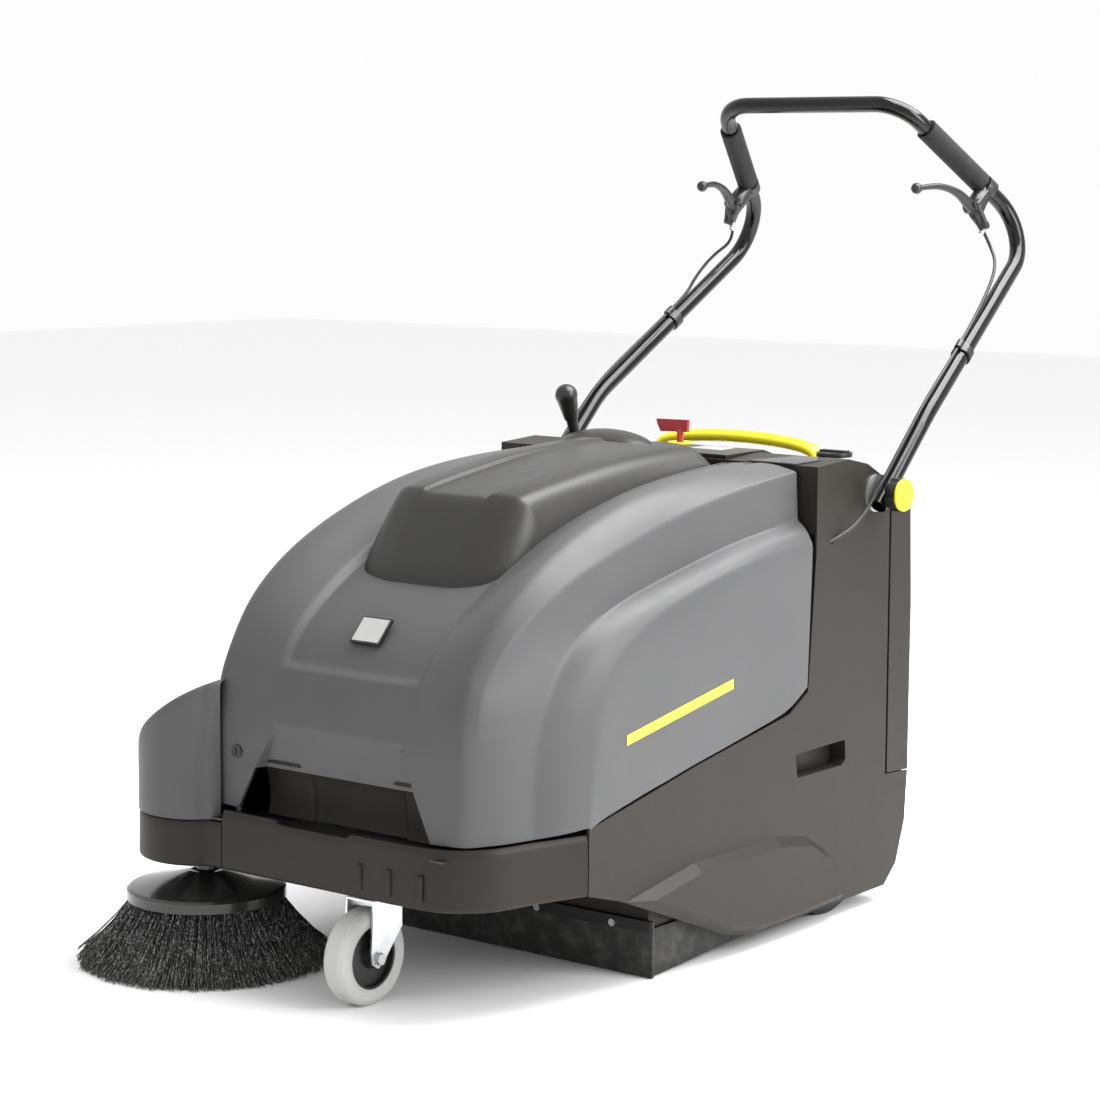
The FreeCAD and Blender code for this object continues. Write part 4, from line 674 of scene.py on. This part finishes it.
def beside_hood(y):
    """The place inside the hood that a point of the cap's outline heads for."""
    return HOOD_SIDE, max(-560, min(-440, y))


def cap_height(c, y):
    return max(cap_roof(c, y), FOOT + 2)


cap_rows = []
for share in WALL_SHARES:
    cap_rows.append([at(c, y, FOOT + (cap_height(c, y) - FOOT) * share) for c, y in outline])
for depth, drop in ROOF_STEPS:
    row = []
    for c, y in outline:
        aim_c, aim_y = beside_hood(y)
        aim = Vector((aim_c - c, aim_y - y, 0))
        if aim.length:
            aim.normalize()
        moved_c, moved_y = c + aim.x * depth, y + aim.y * depth
        row.append(at(moved_c, moved_y, max(FOOT + 1, cap_height(moved_c, moved_y) - drop)))
    cap_rows.append(row)
ends = [beside_hood(y) for c, y in outline]
cap_rows.append([at(c, y, cap_height(c, y)) for c, y in ends])
moulding("brush_cover_cap", GREY, cap_rows, {0: 1.0, 2: 0.35, 7: 1.0}, UPWARDS, 3,
         "hood", "brush_housing_cap", levels=3, sharp_rows={0: 1.0, len(outline) - 1: 1.0})

# The skirt below the cap, from its lower edge up, as (moved in, height).
SKIRT = ((7, 146), (1, 147), (0, 152), (0.5, 180), (1, 204), (3, 208), (4, 208.5))
skirt_rows = [[at(c, y, z) for c, y in lobe(depth, -50)] for depth, z in SKIRT]
moulding("brush_skirt", ANTHRACITE, skirt_rows, {0: 1.0, 6: 1.0, 4: 0.5, 2: 0.4}, (-1, -1, 0), 3,
         "root", "brush_housing_base", levels=2, sharp_rows={0: 1.0})
base_roof = skin("brush_skirt_roof", ANTHRACITE,
                 [[at(c, y, 160) for c, y in lobe(3, -50)],
                  [at(AXIS_C + (c - AXIS_C) * 0.86, AXIS_Y + (y - AXIS_Y) * 0.86, 160)
                   for c, y in lobe(3, -50)]])
apply(base_roof, "SOLIDIFY", thickness=0.003, offset=0)
smooth(base_roof, 40)
rest(base_roof, "root")


def bumper_line(depth):
    """Plan of the bumper from the brush housing round the right corner to the side panel."""
    line = [(c, -600) for c in (-178, -150, -86, -80, 40, 46, 110)]
    line += [(150, -599), (180, -597), (202, -588), (221, -574), (237, -556), (247, -536), (253, -512),
             (259, -486), (268, -458), (277, -430), (284, -412)]
    moved = []
    for i, (c, y) in enumerate(line):
        before, after = line[max(i - 1, 0)], line[min(i + 1, len(line) - 1)]
        along = Vector((after[0] - before[0], after[1] - before[1])).normalized()
        moved.append((c - along.y * depth, y + along.x * depth))
    return moved


def bumper_top(c):
    """The bumper's upper edge dips in the middle, below the hand recess."""
    return 220.0 if -84 < c < 44 else 226.0


# The bumper from its inner lower edge up its face and over the top, as (moved in, height).
BUMPER_STEPS = ((8, 146), (1.5, 147), (0, 152), (0, 176), (1, 205), (1.5, 219), (4, 224), (4, 226), (10, 226),
                (10, 222))
bumper_rows = []
for depth, z in BUMPER_STEPS:
    row = []
    for (c0, _), (c, y) in zip(bumper_line(0), bumper_line(depth)):
        dip = 226 - bumper_top(c0)
        row.append(at(c, y, z - dip * (1 if z > 215 else 0)))
    bumper_rows.append(row)
moulding("bumper_moulding", ANTHRACITE, bumper_rows, {0: 1.0, 9: 1.0, 2: 0.3, 5: 0.35, 7: 0.5, 8: 0.5},
         (1, -1, 0), 2.5, "root", "front_bumper", levels=2,
         sharp_rows={0: 1.0, 17: 1.0, 2: 0.6, 3: 0.6, 4: 0.6, 5: 0.6})
for c in (65.0, 114.0, 165.0):
    start()
    bpy.ops.mesh.primitive_cylinder_add(vertices=24, radius=0.0042, depth=0.034, location=at(c, -599.5, 175))
    rib = made("bumper_rib_%d" % c, ANTHRACITE)
    apply(rib, "BEVEL", width=0.0015, segments=3)
    smooth(rib)
    rest(rib, "root")
start()
bpy.ops.mesh.primitive_plane_add(size=1, location=at(0, -545, 212))
shelf = made("bumper_shelf", BLACK)
shelf.scale = (0.40, 0.10, 1)
rest(shelf, "root")
apply(shelf, "SOLIDIFY", thickness=0.003, offset=0)

# Dark inner panel behind the hand recess of the hood.
ACROSS = (-150, -128, -112, -72, -68, -20, 30, 88, 92, 112, 128, 150)
DOWN = ((-566, 292), (-546, 284), (-538, 262), (-536, 232), (-540, 216))
recess_rows = [[at(c, y, z) for c in ACROSS] for y, z in DOWN]
for row in recess_rows:
    for i in (4, 5, 6, 7):
        row[i] = row[i] + Vector((0, 0.006, 0))
moulding("recess_panel", ANTHRACITE, recess_rows, {0: 1.0, 4: 1.0, 1: 0.5}, (0, -1, 0), 3, "hood", levels=2,
         sharp_rows={0: 1.0, 11: 1.0, 3: 0.8, 4: 0.8, 7: 0.8, 8: 0.8})


# ---- bristles -------------------------------------------------------------------------------
def chance(seed):
    """A repeatable number between 0 and 1."""
    value = math.sin(seed * 12.9898 + 4.1414) * 43758.5453
    return value - math.floor(value)


BRISTLES = 2300
GOLDEN_TURN = 2.399963      # spreads the bristles evenly round the disc
side_lines = []
for i in range(BRISTLES):
    angle = i * GOLDEN_TURN
    inner = 66 + 33 * chance(i + 0.1)
    reach = 160 + 17 * chance(i + 0.3) ** 0.6 - (99 - inner) * 0.5
    sweep = (chance(i + 0.7) - 0.5) * 0.16
    low_end = 1.5 + 9 * chance(i + 0.9) ** 3
    line = []
    for t in (0.0, 0.35, 0.7, 1.0):
        r = inner + (reach - inner) * (t * 0.86 + 0.14 * t * t)
        z = 88 + (low_end - 88) * (t * 1.12 - 0.12 * t * t)
        a = angle + sweep * t * t
        line.append(at(AXIS_C + r * math.cos(a), AXIS_Y + r * math.sin(a), z))
    side_lines.append(line)
rest(strands("side_brush_tufts", BRUSH_BLACK, side_lines, 1.5), "side_brush", "side_brush_bristles")

roller_low, roller_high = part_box("roller_bristles")
roller_axis = (roller_low + roller_high) / 2
TUFT_ROWS, TUFTS = 8, 150
roller_lines = []
for row in range(TUFT_ROWS):
    for i in range(TUFTS):
        share = (i + 0.5) / TUFTS
        for k in range(2):
            seed = row * 1000 + i * 2 + k + 0.5
            a = row * 2 * math.pi / TUFT_ROWS + abs(share - 0.5) * 1.1 + (chance(seed) - 0.5) * 0.16
            spread = (chance(seed + 0.3) - 0.5) * 0.07
            x = roller_low.x + 0.004 + (roller_high.x - roller_low.x - 0.008) * share
            line = []
            for r in (0.040, 0.080, 0.1145 - 0.003 * chance(seed + 0.6)):
                turned = a + spread * (r - 0.04) / 0.075
                line.append(Vector((x, roller_axis.y + r * math.cos(turned),
                                    roller_axis.z + r * math.sin(turned))))
            roller_lines.append(line)
rest(strands("roller_tufts", ROLLER_BLACK, roller_lines, 1.6), "main_roller", "roller_bristles")

# ---- container handle, inner wall and stripe ------------------------------------------------
ARCH = [(-141, 614), (-142, 640), (-138, 652), (-112, 660), (-60, 665), (0, 667)]
ARCH += [(-c, z) for c, z in reversed(ARCH[:-1])]
arch = hose("container_grip", YELLOW, [at(c, 322, z) for c, z in ARCH], 10)
for vertex in arch.data.vertices:
    vertex.co.y = 0.322 + (vertex.co.y - 0.322) * 1.35
rest(arch, "container", "container_handle")
start()
bpy.ops.mesh.primitive_cube_add(size=1, location=at(-232, -490, 240))
inner_wall = made("brush_side_wall", BLACK)
inner_wall.scale = (0.004, 0.16, 0.17)
rest(inner_wall, "root")


def sticker(name, finish, corners, lift, body):
    """A thin plate through four corners, standing off the surface below it."""
    start()
    bpy.ops.mesh.primitive_grid_add(x_subdivisions=12, y_subdivisions=2, size=1)
    plate = made(name, finish)
    a, b, c, d = corners
    for vertex in plate.data.vertices:
        u, v = vertex.co.x + 0.5, vertex.co.y + 0.5
        vertex.co = (a * (1 - u) + b * u) * (1 - v) + (d * (1 - u) + c * u) * v
    apply(plate, "SOLIDIFY", thickness=lift / 1000, offset=0)
    return rest(plate, body)


def badge_corners(half, reach, lift):
    """Corners of a plate in the hood's front recess, standing off it by lift."""
    ends = []
    for share in (-reach, reach):
        ends.append((-503 + 0.68 * share - 0.73 * lift, 470 + 0.73 * share + 0.68 * lift))
    (y0, z0), (y1, z1) = ends
    return [at(-half, y0, z0), at(half, y0, z0), at(half, y1, z1), at(-half, y1, z1)]


sticker("badge_frame", BLACK, badge_corners(25, 20.5, 0.5), 4, "hood")
badge = sticker("badge_face", SILVER, badge_corners(22.5, 18, 2.2), 2.4, "hood")
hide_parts("badge_plate")
STRIPE = [(-332, 330), (-95, 371), (-95, 384), (-332, 343)]
sticker("side_stripe", YELLOW, [at(284.3, y, z) for y, z in STRIPE], 1.2, "hood")

# ---- Bowden cables --------------------------------------------------------------------------
UPPER = [(232, 633, 981), (238, 651, 953), (265, 624.2, 925.3), (273.9, 588.7, 889.9)]
LOWER = [(298.2, 371.9, 737.6), (300, 309.9, 681.9), (300, 265.3, 638.8), (297, 212, 583), (293, 172, 558),
         (278, 134, 543)]
ROUTES = {1: UPPER + [(280.1, 525.8, 836.4), (289.6, 446, 783.8)] + LOWER,
          -1: UPPER + [(274.9, 569.8, 865.4), (284.3, 490, 812.8)] + LOWER}
for side, route in ROUTES.items():
    cable = hose("brake_cable_right" if side > 0 else "brake_cable_left", STEEL_BLACK,
                 [at(side * c, y, z) for c, y, z in route], 2.5)
    start()
    at(side * 297, 212, 583)
    at(side * 300, 310, 682)
    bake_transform(cable)
    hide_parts("bowden_cables")

# ---- brake levers ---------------------------------------------------------------------------
LEVER_BODY = [(221, 660, 1036), (221, 650, 1028), (222, 634, 1016), (225, 627, 1003), (230, 631, 990),
              (232, 633, 982)]
LEVER_BLADE = [(224, 632, 1000), (221, 612, 1016), (216, 586, 1034), (208, 550, 1043), (200, 515, 1041),
               (197, 500, 1039)]
for side, name in ((1, "right"), (-1, "left")):
    body = hose("lever_housing_" + name, BLACK, [at(side * c, y, z) for c, y, z in LEVER_BODY],
                15, [0.8, 0.95, 1.0, 0.85, 0.55, 0.4])
    rest(body, "handle")
    blade = hose("lever_blade_" + name, BLACK, [at(side * c, y, z) for c, y, z in LEVER_BLADE],
                 8, [1.0, 1.1, 0.8, 0.62, 0.55, 0.5])
    rest(blade, "lever_" + name, "brake_lever_" + name)
    start()
    bpy.ops.mesh.primitive_uv_sphere_add(segments=24, ring_count=14, radius=0.0085,
                                         location=at(side * 197, 499, 1039))
    rest(smooth(made("lever_ball_" + name, BLACK), 60), "lever_" + name)
    start()
    bpy.ops.mesh.primitive_cylinder_add(vertices=20, radius=0.0042, depth=0.016,
                                        location=at(side * 232.8, 635.5, 975))
    ferrule = made("cable_ferrule_" + name, SCREW)
    ferrule.rotation_euler = (math.radians(-33), math.radians(12 * side), 0)
    apply(ferrule, "BEVEL", width=0.0008, segments=2)
    rest(smooth(ferrule), "handle")

# ---- top of the machine ---------------------------------------------------------------------
start()
bpy.ops.mesh.primitive_uv_sphere_add(segments=40, ring_count=20, radius=1, location=at(-118, 150, 652))
hump = made("filter_hump", DOME_GREY)
hump.scale = (0.085, 0.048, 0.030)
rest(smooth(hump, 60), "root")
deck_plan = [(165, 107), (180, 128), (206, 172), (232, 212), (262, 204), (254, 150), (245, 107)]
start()
bpy.ops.mesh.primitive_circle_add(vertices=len(deck_plan), radius=1, fill_type="NGON")
trim = made("deck_trim", GREY)
for vertex, (c, y) in zip(trim.data.vertices, deck_plan):
    vertex.co = at(c, y, 656.5 + 4.6 * min(1, (y - 107) / 79) - max(0, y - 186) * 0.2)
apply(trim, "SOLIDIFY", thickness=0.002, offset=0)
apply(trim, "BEVEL", width=0.0007, segments=2)
rest(smooth(trim), "root")

# ---- CAD nodes that keep their shape --------------------------------------------------------
for name in ("side_panel_right", "side_panel_left", "rear_deck", "dirt_container", "container_handle",
             "control_panel", "chassis_frame"):
    soften(name, 1.6)
for name in ("caster_fork", "caster_plate", "lever_brackets", "switch_key", "display_plate",
             "clamp_knob_right", "clamp_knob_left", "front_flap", "flap_strip", "lift_lever",
             "filter_shaker_knob"):
    soften(name, 0.7)

# ---- floor, light and camera ----------------------------------------------------------------
start()
bpy.ops.mesh.primitive_plane_add(size=24, location=(0, 0, 0))
floor = made("floor", rubber("studio floor", (0.93, 0.93, 0.93), 0.70, 0.0))

world = bpy.data.worlds.new("studio")
bpy.context.scene.world = world
world.use_nodes = True
world.node_tree.nodes["Background"].inputs["Color"].default_value = (1.0, 1.0, 1.0, 1)
world.node_tree.nodes["Background"].inputs["Strength"].default_value = 0.98


def soft_light(name, place, aim, size, power):
    lamp = bpy.data.lights.new(name, "AREA")
    lamp.shape = "RECTANGLE"
    lamp.size, lamp.size_y = size
    lamp.energy = power
    light = bpy.data.objects.new(name, lamp)
    bpy.context.scene.collection.objects.link(light)
    light.location = place
    light.rotation_euler = (Vector(aim) - Vector(place)).to_track_quat("-Z", "Y").to_euler()


soft_light("top soft box", (1.0, 0.9, 3.0), (0, 0, 0.4), (2.2, 2.2), 190)
soft_light("right soft box", (3.4, 0.6, 1.9), (0.1, 0, 0.45), (1.6, 2.2), 105)
soft_light("front fill", (-1.2, -3.6, 1.6), (0, 0, 0.4), (2.0, 1.6), 4)

bpy.context.scene.view_settings.view_transform = "Standard"
camera_data = bpy.data.cameras.new("camera")
camera = bpy.data.objects.new("camera", camera_data)
bpy.context.scene.collection.objects.link(camera)
bpy.context.scene.camera = camera
camera_data.sensor_width = 36.0
camera_data.lens = 94.02
camera_data.shift_x = -0.0317
camera_data.shift_y = -0.0376
camera_data.clip_end = 60
turn, tilt, roll = (math.radians(a) for a in (37.65, 6.67, 0.36))
forward = Vector((-math.sin(turn) * math.cos(tilt), math.cos(turn) * math.cos(tilt), -math.sin(tilt)))
right = Vector((math.cos(turn), math.sin(turn), 0))
up = right.cross(forward)
right, up = right * math.cos(roll) + up * math.sin(roll), up * math.cos(roll) - right * math.sin(roll)
camera.matrix_world = Matrix((right, up, -forward)).transposed().to_4x4()
camera.location = (2.50873, -3.235, 1.05936)
